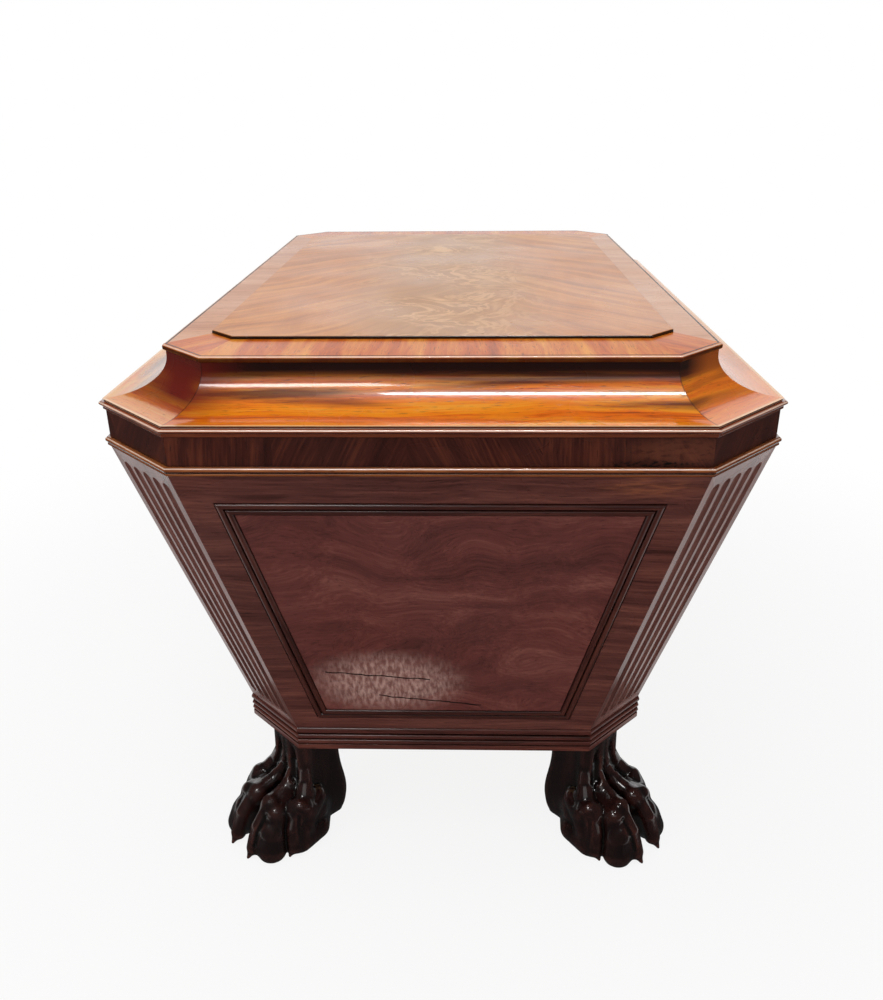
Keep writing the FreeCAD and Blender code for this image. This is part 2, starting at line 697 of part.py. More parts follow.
def build_hinges():
    axis_y = width / 2 - hinge_axis_inset
    axis_z = (frieze_top + lid_bottom) / 2
    inner = axis_y - hinge_leaf
    thick = hinge_leaf_thickness
    odd, even = range(1, hinge_knuckles, 2), range(0, hinge_knuckles, 2)
    # Each half: the level its leaf starts from, its screws' face, way and length, and its knuckles.
    halves = {"lid": (lid_bottom, lid_bottom, V(0, 0, 1), lid_screw_length, odd),
              "carcase": (frieze_top - thick, frieze_top, V(0, 0, -1), carcase_screw_length, even)}
    spare = V(hinge_end_clearance, 0, 0)
    pins, scoops = [], []
    for middle in (-hinge_spacing / 2, hinge_spacing / 2):
        start = V(middle - hinge_length / 2, axis_y, axis_z)
        end = start + V(hinge_length, 0, 0)
        pins.append(rod(start, end, hinge_pin_radius))
        scoops.append(rod(start - spare, end + spare, hinge_radius + hinge_recess_clearance))

    for owner, (low, face, way, reach, mine) in halves.items():
        leaves, beds, screws = [], [], []
        bore = hinge_pin_radius + (hinge_pin_clearance if owner == "lid" else 0)
        for middle in (-hinge_spacing / 2, hinge_spacing / 2):
            x0, x1 = middle - hinge_length / 2, middle + hinge_length / 2
            start, end = V(x0, axis_y, axis_z), V(x1, axis_y, axis_z)
            barrel, room = knuckles(start, mine)
            fixings = [screw(V(x0 + share * hinge_length, axis_y - hinge_leaf * 0.62, face), way, reach)
                       for share in (0.2, 0.5, 0.8)]
            plate = box(x0, x1, inner, axis_y, low, low + thick).cut(room)
            hole = rod(start - spare, end + spare, bore)
            leaves.append(plate.fuse(barrel).cut([hole] + fixings).removeSplitter().Solids[0])
            screws += fixings
            beds.append(box(x0, x1, inner, width / 2, min(low, face) - (1 if owner == "lid" else 0),
                            low + thick + (1 if owner == "carcase" else 0)))
        add("hinge_leaves_" + owner, *leaves)
        add("hinge_screws_" + owner, *screws)
        # The leaves are let in flush, and the edge is scooped for the barrel.
        cut("lid_lip_sides" if owner == "lid" else "frieze_back", *(beds + scoops + screws))
    add("hinge_pins", *pins)


# ---- Lock --------------------------------------------------------------------------------------

def keyhole(grow, y0, y1, eye_z):
    """A keyhole's round eye and the slit below it, from y0 to y1, grown by a rim."""
    eye = Part.makeCylinder(keyhole_radius + grow, y1 - y0, V(0, y0, eye_z), V(0, 1, 0))
    half, tail = keyhole_slit / 2 + grow, escutcheon_tail * 0.75 + grow
    return eye.fuse(box(-half, half, y0, y1, eye_z - tail, eye_z)).removeSplitter()


def build_lock():
    front = frieze_inset + lock_setback - width / 2
    back = front + lock_depth
    top, low = frieze_top, frieze_top - lock_height
    middle = (front + back) / 2
    half, wall, play = lock_length / 2, lock_wall, bolt_clearance
    staple_half = staple_thickness / 2
    staples_at = (-staple_spacing / 2, staple_spacing / 2)
    case = box(-half, half, front, back, low, top)
    hollow = box(-half + wall, half - wall, front + wall, back - wall, low + wall, top - wall)
    slot_x, slot_y = staple_half + play * 4, staple_width / 2 + play * 3
    slots = [box(x - slot_x, x + slot_x, middle - slot_y, middle + slot_y, top - wall - 1, top + 1)
             for x in staples_at]

    # The bolt slides along X; a hook beside each staple enters the staple's eye.
    rest = low + wall + play
    bar_top = rest + bolt_height
    hook_front, hook_back = middle - hook_size / 2, middle + hook_size / 2
    bar_start, bar_end = -bolt_length / 2 - bolt_throw, bolt_length / 2 - bolt_throw
    bar = box(bar_start, bar_end, front + wall + play, back - wall - play, rest, bar_top)
    hook_top = top - wall - hook_size / 3
    post = hook_size + 1
    hooks = []
    for x in staples_at:
        tip = x - staple_half - 1
        root = tip - bolt_throw
        hooks.append(box(root - post, root, hook_front, hook_back, bar_top - 1, hook_top))
        hooks.append(box(root - 1, tip, hook_front, hook_back, hook_top - hook_size, hook_top))
    key_path = box(-escutcheon_radius - bolt_throw, escutcheon_radius, front, back, rest - 1,
                   rest + bolt_height * 0.55)
    add("lock_bolt", bar.fuse(hooks).removeSplitter().cut(key_path))

    # A strip of spring steel slopes down from under the case's top to just over the bolt.
    near_hook = staples_at[1] - staple_half - 1 - bolt_throw - post
    spring_end = near_hook - play * 3
    spring_start = spring_end - spring_length
    under = top - wall
    outline = [V(spring_start, 0, under), V(spring_start, 0, under - spring_thickness),
               V(spring_end, 0, bar_top + play), V(spring_end, 0, bar_top + play + spring_thickness),
               V(spring_start + spring_thickness * 2, 0, under)]
    spring = prism(outline, V(0, spring_width, 0))
    spring.translate(V(0, middle - spring_width / 2, 0))
    add("lock_spring", spring)

    # Keyhole: a round eye with a tail, through the frieze and the case's front.
    eye_z = low + lock_height * 0.55
    face = frieze_inset - width / 2
    rim = keyhole(escutcheon_rim, face, face + escutcheon_depth, eye_z)
    add("lock_escutcheon", rim.cut(keyhole(0, face - 1, face + escutcheon_depth + 1, eye_z)))
    add("lock_case", case.cut([hollow] + slots).cut(keyhole(0, face, front + wall + 1, eye_z)))
    cut("frieze_front", case, rim, keyhole(0, face - 1, front + 1, eye_z))

    # Link plate in the lid's rim: a flush plate with two eyed staples.
    plate = box(-half, half, front, back, lid_bottom, lid_bottom + link_plate_thickness)
    staples, eyes = [], []
    for x in staples_at:
        y0, y1 = middle - staple_width / 2, middle + staple_width / 2
        staples.append(box(x - staple_half, x + staple_half, y0, y1, lid_bottom - staple_drop,
                           lid_bottom + link_plate_thickness / 2))
        eye_room = play * 2.5
        eyes.append(box(x - staple_half - 1, x + staple_half + 1, hook_front - eye_room,
                        hook_back + eye_room, hook_top - hook_size - eye_room, hook_top + eye_room))
    fixings = [screw(V(x, middle, lid_bottom), V(0, 0, 1), lid_screw_length)
               for x in (-half * 0.8, half * 0.8)]
    link = plate.fuse(staples).cut(eyes + fixings).removeSplitter()
    add("lock_link_plate", link.Solids[0])
    add("link_plate_screws", *fixings)
    cut("lid_lip_sides", plate, *fixings)


build_lid()
build_frieze()
for name, i in ENDS.items():
    build_wall(name + "_end", i)
for name, i in SIDES.items():
    build_wall(name + "_wall", i)
for name, i in CORNERS.items():
    build_post("corner_post_" + name, i)
build_base()
build_inside()
build_feet()
build_hinges()
build_lock()

os.makedirs("parts", exist_ok=True)
for name, shape in parts.items():
    shape.exportStep("parts/" + name + ".step")
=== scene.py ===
import bmesh
import bpy
import math
import numpy as np
from mathutils import Matrix, Vector


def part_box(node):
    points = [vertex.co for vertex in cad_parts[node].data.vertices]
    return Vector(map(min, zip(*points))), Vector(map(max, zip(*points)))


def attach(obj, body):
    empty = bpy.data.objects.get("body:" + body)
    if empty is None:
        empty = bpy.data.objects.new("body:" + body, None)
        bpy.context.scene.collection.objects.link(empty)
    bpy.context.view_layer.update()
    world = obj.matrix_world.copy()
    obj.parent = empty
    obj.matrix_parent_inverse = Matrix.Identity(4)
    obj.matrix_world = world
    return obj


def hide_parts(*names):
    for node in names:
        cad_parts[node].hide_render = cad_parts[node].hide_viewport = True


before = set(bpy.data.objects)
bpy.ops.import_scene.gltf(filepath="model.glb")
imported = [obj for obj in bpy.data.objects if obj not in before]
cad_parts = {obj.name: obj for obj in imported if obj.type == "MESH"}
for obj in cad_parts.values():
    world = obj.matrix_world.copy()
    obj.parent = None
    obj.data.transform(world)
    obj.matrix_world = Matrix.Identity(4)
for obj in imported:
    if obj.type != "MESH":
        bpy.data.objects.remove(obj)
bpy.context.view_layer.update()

# ---- Studio ------------------------------------------------------------------------------------
# A pale floor in a white surround. A wide box lights the piece from above and a smaller one from
# the left. Two strip lamps and five dull black cards show in the polish alone.

scene = bpy.context.scene
scene.view_settings.view_transform = "Standard"

mm = 0.001
camera_place = (-0.9749, -0.0183, 0.6572)
heading, dip, roll = 0.0272, 0.4159, -0.0088        # radians left of +X, below level and anticlockwise
focal_pixels, image_height = 908.8, 1000
sensor = 36.0


def placed(name, data):
    """A new object in the scene."""
    made = bpy.data.objects.new(name, data)
    scene.collection.objects.link(made)
    return made


camera = placed("camera", bpy.data.cameras.new("camera"))
camera.matrix_world = (Matrix.Translation(camera_place) @ Matrix.Rotation(heading - math.pi / 2, 4, "Z")
                       @ Matrix.Rotation(math.pi / 2 - dip, 4, "X") @ Matrix.Rotation(roll, 4, "Z"))
camera.data.sensor_fit = "VERTICAL"
camera.data.sensor_height = sensor
camera.data.lens = focal_pixels * sensor / image_height
camera.data.clip_start = 0.05
scene.camera = camera


def feed(tree, inputs, target="Principled BSDF"):
    """Fills a node's inputs. A socket is linked, and any other value is set."""
    sockets = tree.nodes[target].inputs
    for key, value in inputs.items():
        if isinstance(value, bpy.types.NodeSocket):
            tree.links.new(value, sockets[key])
        else:
            sockets[key].default_value = value


def node(tree, kind, inputs=None, **settings):
    """A new node with its settings and inputs."""
    made = tree.nodes.new(kind)
    for key, value in settings.items():
        setattr(made, key, value)
    feed(tree, inputs or {}, made.name)
    return made


def calc(tree, operation, first, second=0.0, third=0.0, clamp=False):
    """The result of a Math node."""
    inputs = {0: first, 1: second}
    if operation in ("MULTIPLY_ADD", "SMOOTH_MIN", "SMOOTH_MAX"):
        inputs[2] = third
    return node(tree, "ShaderNodeMath", inputs, operation=operation, use_clamp=clamp).outputs[0]


def times(tree, first, second):
    return calc(tree, "MULTIPLY", first, second)


def mapped(tree, value, low=0.0, high=1.0, start=0.0, end=1.0, smooth=False):
    """A value that lies between low and high, moved to lie between start and end."""
    return node(tree, "ShaderNodeMapRange", {0: value, 1: low, 2: high, 3: start, 4: end},
                interpolation_type="SMOOTHSTEP" if smooth else "LINEAR").outputs[0]


def vector_calc(tree, operation, first, second=None):
    """The result of a Vector Math node, a number for a length or a dot product."""
    inputs = {0: first}
    if second is not None:
        inputs["Scale" if operation == "SCALE" else 1] = second
    made = node(tree, "ShaderNodeVectorMath", inputs, operation=operation).outputs
    return made["Value" if operation in ("LENGTH", "DOT_PRODUCT") else "Vector"]


def noise(tree, place, scale, detail, output="Fac", **more):
    inputs = {"Vector": place, "Scale": scale, "Detail": detail} | more
    return node(tree, "ShaderNodeTexNoise", inputs).outputs[output]


def coordinates(tree, kind="Object"):
    return node(tree, "ShaderNodeTexCoord").outputs[kind]


def split(tree, place):
    return node(tree, "ShaderNodeSeparateXYZ", {0: place}).outputs


def combined(tree, x, y=0.0, z=0.0):
    return node(tree, "ShaderNodeCombineXYZ", {0: x, 1: y, 2: z}).outputs[0]


def screen(red, green, blue):
    """A colour given in screen values from 0 to 255."""
    parts = [value / 255 for value in (red, green, blue)]
    return tuple(p / 12.92 if p <= 0.04045 else ((p + 0.055) / 1.055) ** 2.4 for p in parts) + (1.0,)


def seen_directly(tree):
    """1 where a ray comes from the camera, a reflection or a transmission."""
    path = node(tree, "ShaderNodeLightPath")
    seen = calc(tree, "MAXIMUM", path.outputs["Is Camera Ray"], path.outputs["Is Glossy Ray"])
    return calc(tree, "MAXIMUM", seen, path.outputs["Is Transmission Ray"])


def with_tree(data):
    """A world or a material that uses nodes, and its tree."""
    data.use_nodes = True
    return data, data.node_tree


world, tree = with_tree(bpy.data.worlds.new("surround"))
tree.nodes.clear()
ambient_strength = 0.5
strength = calc(tree, "MULTIPLY_ADD", seen_directly(tree), 1 - ambient_strength, ambient_strength)
background = node(tree, "ShaderNodeBackground", {"Color": (1, 1, 1, 1), "Strength": strength})
node(tree, "ShaderNodeOutputWorld", {"Surface": background.outputs[0]})
scene.world = world


def lamp(name, place, target, size, power, mirrored=False):
    """A soft box, long side across, aimed at a point. A mirrored one only shows in the polish."""
    data = bpy.data.lights.new(name, "AREA")
    data.shape = "RECTANGLE"
    data.size, data.size_y = size
    data.energy = power
    made = placed(name, data)
    made.location = place
    made.rotation_euler = (Vector(target) - Vector(place)).to_track_quat("-Z", "Y").to_euler()
    made.visible_glossy, made.visible_diffuse = mirrored, not mirrored


lamp("strip_lamp", (-0.5, -0.21, 1.95), (-0.36, -0.21, 0.46), (0.76, 0.12), 19, mirrored=True)
lamp("left_strip", (-1.28, 0.42, 1.95), (-0.36, 0.12, 0.46), (0.5, 0.3), 9, mirrored=True)
lamp("top_box", (-0.5, 0.3, 2.2), (0, 0, 0.4), (1.4, 1.4), 13)
lamp("left_box", (-1.6, 1.5, 1.2), (-0.2, 0, 0.3), (0.9, 1.1), 4)


def flat(name, corners, material):
    mesh = bpy.data.meshes.new(name)
    mesh.from_pydata(corners, [], [(0, 1, 2, 3)])
    mesh.materials.append(material)
    return placed(name, mesh)


def square(half, z):
    return [(x * half, y * half, z) for x, y in ((-1, -1), (1, -1), (1, 1), (-1, 1))]


floor_paint, tree = with_tree(bpy.data.materials.new("pale_floor"))
cloud = node(tree, "ShaderNodeTexNoise", {"Scale": 3.0, "Detail": 2.0})
pale = mapped(tree, cloud.outputs["Fac"], start=0.93, end=0.96)
feed(tree, {"Base Color": pale, "Roughness": 0.9})
# Seen directly, the floor fades into the white surround away from the piece.
fade_from, fade_to, white_near = 0.45, 1.1, 0.87
away = vector_calc(tree, "LENGTH", coordinates(tree))
fade = mapped(tree, away, fade_from, fade_to, white_near, 1.0, smooth=True)
white = node(tree, "ShaderNodeEmission", {"Color": (1, 1, 1, 1)})
shown = node(tree, "ShaderNodeMixShader", {0: times(tree, fade, seen_directly(tree)),
                                           1: tree.nodes["Principled BSDF"].outputs[0], 2: white.outputs[0]})
feed(tree, {"Surface": shown.outputs[0]}, "Material Output")
floor_half = 4.0
floor = flat("floor", square(floor_half, 0), floor_paint)

# Dull black cards keep the polish deep. Only reflections show them: one is the ceiling, one lies in
# front of the near end, and three stand round it.
card_black, tree = with_tree(bpy.data.materials.new("card_black"))
tree.nodes.clear()
dull = node(tree, "ShaderNodeEmission", {"Color": (1, 1, 1, 1), "Strength": 0.05})
node(tree, "ShaderNodeOutputMaterial", {"Surface": dull.outputs[0]})


def dark_card(name, corners):
    card = flat(name, corners, card_black)
    card.visible_camera = card.visible_diffuse = card.visible_shadow = card.visible_transmission = False


ceiling, ceiling_reach = 2.4, 2.3
card_near, card_far, card_height = -0.05, -1.8, 1.25
near_half, far_half = 0.24, 0.85
side_card_end, side_card_height = 0.8, 1.3
dark_card("ceiling_card", square(ceiling_reach, ceiling))
dark_card("floor_card", [(card_near, -near_half, mm), (card_far, -far_half, mm),
                         (card_far, far_half, mm), (card_near, near_half, mm)])
dark_card("standing_card", [(card_far, -far_half, 0), (card_far, far_half, 0),
                            (card_far, far_half, card_height), (card_far, -far_half, card_height)])
for side in (-1, 1):
    dark_card("side_card", [(card_far, side * far_half, 0), (side_card_end, side * far_half, 0),
                            (side_card_end, side * far_half, side_card_height),
                            (card_far, side * far_half, side_card_height)])

# ---- Base moulding -----------------------------------------------------------------------------
# Eight lengths of solid mahogany, run with a torus, two beads and a fascia, and mitred round the
# foot of the walls. The pine bottom board lies inside them.

lip_low, lip_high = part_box("lid_lip_corners")
length, width = lip_high.x - lip_low.x, lip_high.y - lip_low.y
base_bottom, base_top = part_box("base_moulding_ends")[0].z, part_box("base_moulding_ends")[1].z
body_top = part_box("left_end_frame")[1].z
lip_cant = 66 * mm
body_inset = 3.3 * mm
base_projection = 1.4 * mm
body_bottom_cant = 51.5 * mm
body_lean = math.radians(14.81)
lean_run = (body_top - base_top) * math.tan(body_lean)
cant_shrink = 2 - math.sqrt(2)          # a cut corner's loss of length for each unit of inset


def eight(half_length, half_width, cant, z):
    """The eight corners of a plan, counter-clockwise from the -X end's front corner."""
    a, b, c = half_length, half_width, cant
    plan = [(-a, c - b), (c - a, -b), (a - c, -b), (a, c - b),
            (a, b - c), (a - c, b), (c - a, b), (-a, b - c)]
    return [Vector((x, y, z)) for x, y in plan]


def base_plan(inset, z):
    run = body_inset + lean_run - base_projection + inset
    cant = body_bottom_cant + cant_shrink * (base_projection - inset)
    return eight(length / 2 - run, width / 2 - run, cant, z)


CORNERS = (0, 2, 4, 6)
LENGTHS = {"_ends": (3, 7), "_sides": (1, 5), "_corners": CORNERS}      # the corners that they start at
UPWARD = Vector((0, 0, 1))


def new_group(name, kind, takes, gives):
    """An empty node group with its sockets, each a name and a type, and what its input node puts out."""
    group = bpy.data.node_groups.new(name, kind)
    for in_out, sockets in (("INPUT", takes), ("OUTPUT", gives)):
        for label, form in sockets.items():
            group.interface.new_socket(label, in_out=in_out, socket_type="NodeSocket" + form)
    return group, node(group, "NodeGroupInput").outputs


def moulding_tree():
    """Runs a profile along X for a length and mitres both ends. The profile's X is depth."""
    numbers = dict.fromkeys(("Length", "Start Mitre", "End Mitre", "Grain Offset", "Tone"), "Float")
    takes = {"Geometry": "Geometry"} | numbers | {"Stations": "Int", "Material": "Material"}
    tree, given = new_group("run_moulding", "GeometryNodeTree", takes, {"Geometry": "Geometry"})
    end = combined(tree, given["Length"])
    path = node(tree, "GeometryNodeCurvePrimitiveLine", {"Start": (0, 0, 0), "End": end}).outputs[0]
    path = node(tree, "GeometryNodeResampleCurve", {"Curve": path, "Count": given["Stations"]}).outputs[0]
    profile = node(tree, "GeometryNodeMeshToCurve", {0: given["Geometry"]}).outputs[0]
    swept = node(tree, "GeometryNodeCurveToMesh",
                 {"Curve": path, "Profile Curve": profile, "Fill Caps": True}).outputs[0]
    turned = node(tree, "GeometryNodeTransform",
                  {"Geometry": swept, "Rotation": (math.pi, 0, 0)}).outputs[0]
    # At depth y the run starts at y * start and ends at length - y * end.
    here = node(tree, "GeometryNodeInputPosition").outputs[0]
    x, y, _ = split(tree, here)
    share = calc(tree, "DIVIDE", x, given["Length"])
    start_shift = times(tree, calc(tree, "SUBTRACT", 1.0, share), given["Start Mitre"])
    end_shift = times(tree, share, given["End Mitre"])
    shift = times(tree, y, calc(tree, "SUBTRACT", start_shift, end_shift))
    kept = node(tree, "GeometryNodeSetPosition",
                {"Geometry": turned, "Offset": combined(tree, shift)}).outputs[0]
    grain = vector_calc(tree, "ADD", here, combined(tree, given["Grain Offset"], given["Grain Offset"]))
    for name, value, form in (("grain", grain, "FLOAT_VECTOR"), ("tone", given["Tone"], "FLOAT")):
        kept = node(tree, "GeometryNodeStoreNamedAttribute",
                    {"Geometry": kept, "Name": name, "Value": value},
                    data_type=form, domain="POINT").outputs[0]
    real = node(tree, "GeometryNodeRealizeInstances", {0: kept}).outputs[0]
    done = node(tree, "GeometryNodeSetMaterial", {"Geometry": real, "Material": given["Material"]}).outputs[0]
    node(tree, "NodeGroupOutput", {0: done})
    return tree


run_moulding = moulding_tree()
cabinetmaker = np.random.default_rng(7)


def evaluated(holder):
    """The plain mesh that an object's modifiers make of it."""
    return bpy.data.meshes.new_from_object(holder.evaluated_get(bpy.context.evaluated_depsgraph_get()))


def made_by_nodes(base_mesh, tree, **inputs):
    """The plain mesh that a geometry tree makes from a mesh."""
    holder = placed("blank", base_mesh)
    modifier = holder.modifiers.new("make", "NODES")
    modifier.node_group = tree
    sockets = {item.name: item.identifier for item in tree.interface.items_tree
               if item.item_type == "SOCKET" and item.in_out == "INPUT"}
    for name, value in inputs.items():
        modifier[sockets[name.replace("_", " ").title()]] = value
    made = evaluated(holder)
    bpy.data.objects.remove(holder)
    return made


def mark(mesh, **marks):
    """Gives each corner of a mesh its number or vector under every name."""
    for name, values in marks.items():
        values = np.array(values, dtype=float)
        form, key = (("FLOAT", "value"), ("FLOAT_VECTOR", "vector"))[values.ndim - 1]
        layer = mesh.attributes.get(name) or mesh.attributes.new(name, form, "POINT")
        layer.data.foreach_set(key, values.ravel())


SMOOTH_BELOW = 0.6              # radians between faces that still shade as one surface


def joined(name, parts, material):
    """One mesh from several, each moved by its matrix, with their grain and tone kept."""
    points, faces, grains, tones = [], [], [], []
    for mesh, matrix in parts:
        first = len(points)
        points += [matrix @ v.co for v in mesh.vertices]
        faces += [[first + i for i in p.vertices] for p in mesh.polygons]
        grains += [Vector(v.vector) for v in mesh.attributes["grain"].data]
        tones += [v.value for v in mesh.attributes["tone"].data]
    whole = bpy.data.meshes.new(name)
    whole.from_pydata(points, [], faces)
    mark(whole, grain=grains, tone=tones)
    whole.materials.append(material)
    whole.shade_smooth()
    whole.set_sharp_from_angle(angle=SMOOTH_BELOW)
    return whole


def settle(name, mesh, body, slot, *nodes):
    """The finished piece: it rides on its body and stands for its nodes."""
    piece = placed(name, mesh)
    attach(piece, body)
    if nodes:
        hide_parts(*nodes)


def run_length(outer, inner, i, profile, material, up=UPWARD, stations=2):
    """The length of moulding from outer corner i to the next, cut off along the lines to the inner ones."""
    j = (i + 1) % len(outer)
    start, end = outer[i], outer[j]
    along = (end - start).normalized()
    inward = up.cross(along)
    slopes = [m.dot(along) / m.dot(inward) for m in (inner[i] - start, inner[j] - end)]
    loop = bpy.data.meshes.new("profile")
    count = len(profile)
    loop.from_pydata([(depth, height, 0) for depth, height in profile],
                     [(i, (i + 1) % count) for i in range(count)], [])
    mesh = made_by_nodes(loop, run_moulding, length=(end - start).length, start_mitre=slopes[0],
                         end_mitre=-slopes[1], stations=stations, material=material,
                         grain_offset=float(cabinetmaker.uniform(0, 2)),
                         tone=float(cabinetmaker.uniform(0, 1)))
    place = Matrix.Translation(start) @ Matrix((along, inward, up)).transposed().to_4x4()
    return mesh, place


def run_ring(node_name, plan, z, depth, profile, material, body, slot, cut_sides=None):
    """A moulding round a whole plan, as one piece for each of its nodes."""
    for ending, starts in LENGTHS.items():
        name = "run_" + node_name + ending
        parts = [run_length(plan(0, z), plan(depth, z), i, profile, material) for i in starts]
        whole = joined(name, parts, material)
        if cut_sides and ending == "_sides":
            whole = cut_sides(whole)
        settle(name, whole, body, slot, node_name + ending)


def arc(centre, radius, start, end):
    """Points of an arc in a profile, angles in degrees from the depth axis."""
    steps = 10
    turns = [math.radians(start + (end - start) * k / steps) for k in range(steps + 1)]
    return [(centre[0] + radius * math.cos(t), centre[1] + radius * math.sin(t)) for t in turns]


def bead(face, low, radius):
    """A half round in a profile, at its depth and height."""
    return arc((face + radius, low + radius), radius, 90, 270)


def eased(profile, softness):
    """A profile whose sharp corners are rounded off a little, as a hand-worked edge is."""
    least_turn, most_of_side, steps = 0.6, 0.4, 3
    soft = []
    count = len(profile)
    for i, (x, y) in enumerate(profile):
        here = Vector((x, y))
        before, after = Vector(profile[i - 1]) - here, Vector(profile[(i + 1) % count]) - here
        reach = min(softness, before.length * most_of_side, after.length * most_of_side)
        if math.pi - before.angle(after, 0.0) < least_turn:
            soft.append((x, y))
            continue
        start, end = here + before.normalized() * reach, here + after.normalized() * reach
        for k in range(steps + 1):
            t = k / steps
            point = start * (1 - t) ** 2 + here * 2 * t * (1 - t) + end * t ** 2
            soft.append((point.x, point.y))
    return soft


def swayed(tree, place, scale, detail, reach):
    """A place that noise moves about, by up to half the reach each way."""
    offset = vector_calc(tree, "SUBTRACT", noise(tree, place, scale, detail, "Color"), (0.5, 0.5, 0.5))
    return vector_calc(tree, "ADD", place, vector_calc(tree, "SCALE", offset, reach))


def grain_group():
    """Mahogany grain along X, in metres: broad figure, fine fibre and open pores, each 0 to 1."""
    takes = {"Vector": "Vector"} | dict.fromkeys(("Warp", "Figure Width", "Figure Length"), "Float")
    group, given = new_group("mahogany_grain", "ShaderNodeTree", takes,
                             dict.fromkeys(("Figure", "Fibre", "Pores"), "Float"))
    bent = swayed(group, given["Vector"], 7.0, 2.0, given["Warp"])
    along, across = (calc(group, "DIVIDE", 1.0, given["Figure " + way]) for way in ("Length", "Width"))
    rates = combined(group, along, across, across)
    shown = {}
    for name, drawn_out, detail, rough, low, high in (("Figure", rates, 5.0, 0.6, 0.28, 0.72),
                                                      ("Fibre", (14, 520, 520), 3.0, 0.5, 0.3, 0.7),
                                                      ("Pores", (95, 1250, 1250), 1.0, 0.5, 0.62, 0.74)):
        drawn = vector_calc(group, "MULTIPLY", bent, drawn_out)
        shown[name] = mapped(group, noise(group, drawn, 1.0, detail, Roughness=rough), low, high)
    node(group, "NodeGroupOutput", shown)
    return group


def wax_and_shade_group():
    """1 in corners and quirks and 0 on open faces: waxy dirt and dust there, and painted shade where little
    sky is seen.
    """
    group, given = new_group("wax_and_shade_ao", "ShaderNodeTree", {"Reach": "Float"}, {"Wax And Shade": "Float"})
    open_sky = node(group, "ShaderNodeAmbientOcclusion", {"Distance": given["Reach"]}, samples=6)
    node(group, "NodeGroupOutput", {0: mapped(group, open_sky.outputs["AO"], 0.75, 0.25)})
    return group


mahogany_grain, wax_and_shade_ao = grain_group(), wax_and_shade_group()


def attribute(tree, name, output="Fac"):
    return node(tree, "ShaderNodeAttribute", attribute_name=name).outputs[output]


def mixed(tree, share, first, second):
    """The colour that a mix of two gives."""
    return node(tree, "ShaderNodeMix", {0: share, 6: first, 7: second}, data_type="RGBA").outputs[2]


def tinted(tree, plain, mask, shade, strength=1.0):
    """A colour that a mask turns towards a shade."""
    share = mask if strength == 1.0 else times(tree, mask, strength)
    return mixed(tree, share, plain, screen(*shade))


def ramped(tree, value, shades, places=(0.0, 0.5, 1.0)):
    """The colour that a ramp of shades gives a value, each at its own place between 0 and 1."""
    ramp = node(tree, "ShaderNodeValToRGB", {"Fac": value})
    stops = ramp.color_ramp.elements
    for i, (at, shade) in enumerate(zip(places, shades)):
        stop = stops[i] if i < 2 else stops.new(at)
        stop.position = at
        stop.color = screen(*shade)
    return ramp.outputs[0]


def polished(name, shades, vector=None, figure=(0.35, 0.012), warp=0.02, fibre=0.35, pores=0.5, tone=0.25,
             wax_and_shade_share=0.8, reach=0.004, gloss=0.3, body=1.36, coat=0.25, relief=0.35, change=None,
             places=(0.0, 0.5, 1.0)):
    """French-polished mahogany. The shades go from its darkest streaks to its palest, and a change
    is a function that gets the tree and the colour and gives back another colour."""
    material, tree = with_tree(bpy.data.materials.new(name))
    place = vector(tree) if vector else attribute(tree, "grain", "Vector")
    wood = node(tree, "ShaderNodeGroup", {"Vector": place, "Warp": warp, "Figure Length": figure[0],
                                          "Figure Width": figure[1]}, node_tree=mahogany_grain).outputs
    blend = calc(tree, "MULTIPLY_ADD", wood["Fibre"], fibre, times(tree, wood["Figure"], 1 - fibre))
    own = times(tree, calc(tree, "SUBTRACT", attribute(tree, "tone"), 0.5), tone)
    plain = ramped(tree, calc(tree, "ADD", blend, own, clamp=True), shades, places)
    deep = tuple(c * 0.25 for c in screen(*shades[0])[:3]) + (1.0,)
    colour = mixed(tree, times(tree, wood["Pores"], pores), plain, deep)
    wax_and_shade_mask = node(tree, "ShaderNodeGroup", {"Reach": reach}, node_tree=wax_and_shade_ao).outputs[0]
    cloud = noise(tree, coordinates(tree), 9.0, 3.0)
    waves = noise(tree, coordinates(tree), 16.0, 1.0)
    long_bump = node(tree, "ShaderNodeBump", {"Height": waves, "Strength": 0.25, "Distance": 2 * mm})
    grain_height = calc(tree, "SUBTRACT", times(tree, wood["Fibre"], 0.3), wood["Pores"])
    bump = node(tree, "ShaderNodeBump", {"Height": grain_height, "Strength": relief, "Distance": 0.12 * mm,
                                         "Normal": long_bump.outputs[0]}).outputs[0]
    # Waxy dirt in corners and quirks, together with painted shade there.
    colour = tinted(tree, colour, wax_and_shade_mask, (16, 8, 7), wax_and_shade_share)
    feed(tree, {"Base Color": change(tree, colour) if change else colour,
                "Roughness": mapped(tree, cloud, 0.3, 0.7, gloss * 0.75, gloss * 1.3), "Normal": bump,
                "IOR": body, "Coat Weight": coat, "Coat Roughness": 0.08})
    return material


base_mahogany = polished("base_mahogany", [(54, 23, 18), (95, 46, 38), (136, 76, 60)],
                         places=(0.0, 0.45, 1.0))

base_height = base_top - base_bottom
torus, upper_bead, lower_bead = 3.3 * mm, 2.3 * mm, 2.1 * mm        # radii
fascia_height, fascia_face, bead_face = 5.0 * mm, 0.8 * mm, 0.3 * mm
quirk_depth = 1.4 * mm
base_depth = 60 * mm
line = (base_height - 2 * (torus + upper_bead + lower_bead) - fascia_height) / 3
sunk = fascia_face + quirk_depth
low_bead = fascia_height + line
up_bead = low_bead + 2 * lower_bead + line
low_torus = up_bead + 2 * upper_bead + line
base_profile = ([(base_depth, 0), (base_depth, base_height)]
                + bead(0, low_torus, torus)
                + [(sunk + upper_bead, low_torus), (sunk + upper_bead, up_bead + 2 * upper_bead)]
                + bead(bead_face, up_bead, upper_bead)
                + [(sunk + lower_bead, up_bead), (sunk + lower_bead, low_bead + 2 * lower_bead)]
                + bead(bead_face, low_bead, lower_bead)
                + [(sunk, low_bead), (sunk, fascia_height), (fascia_face, fascia_height), (fascia_face, 0)])
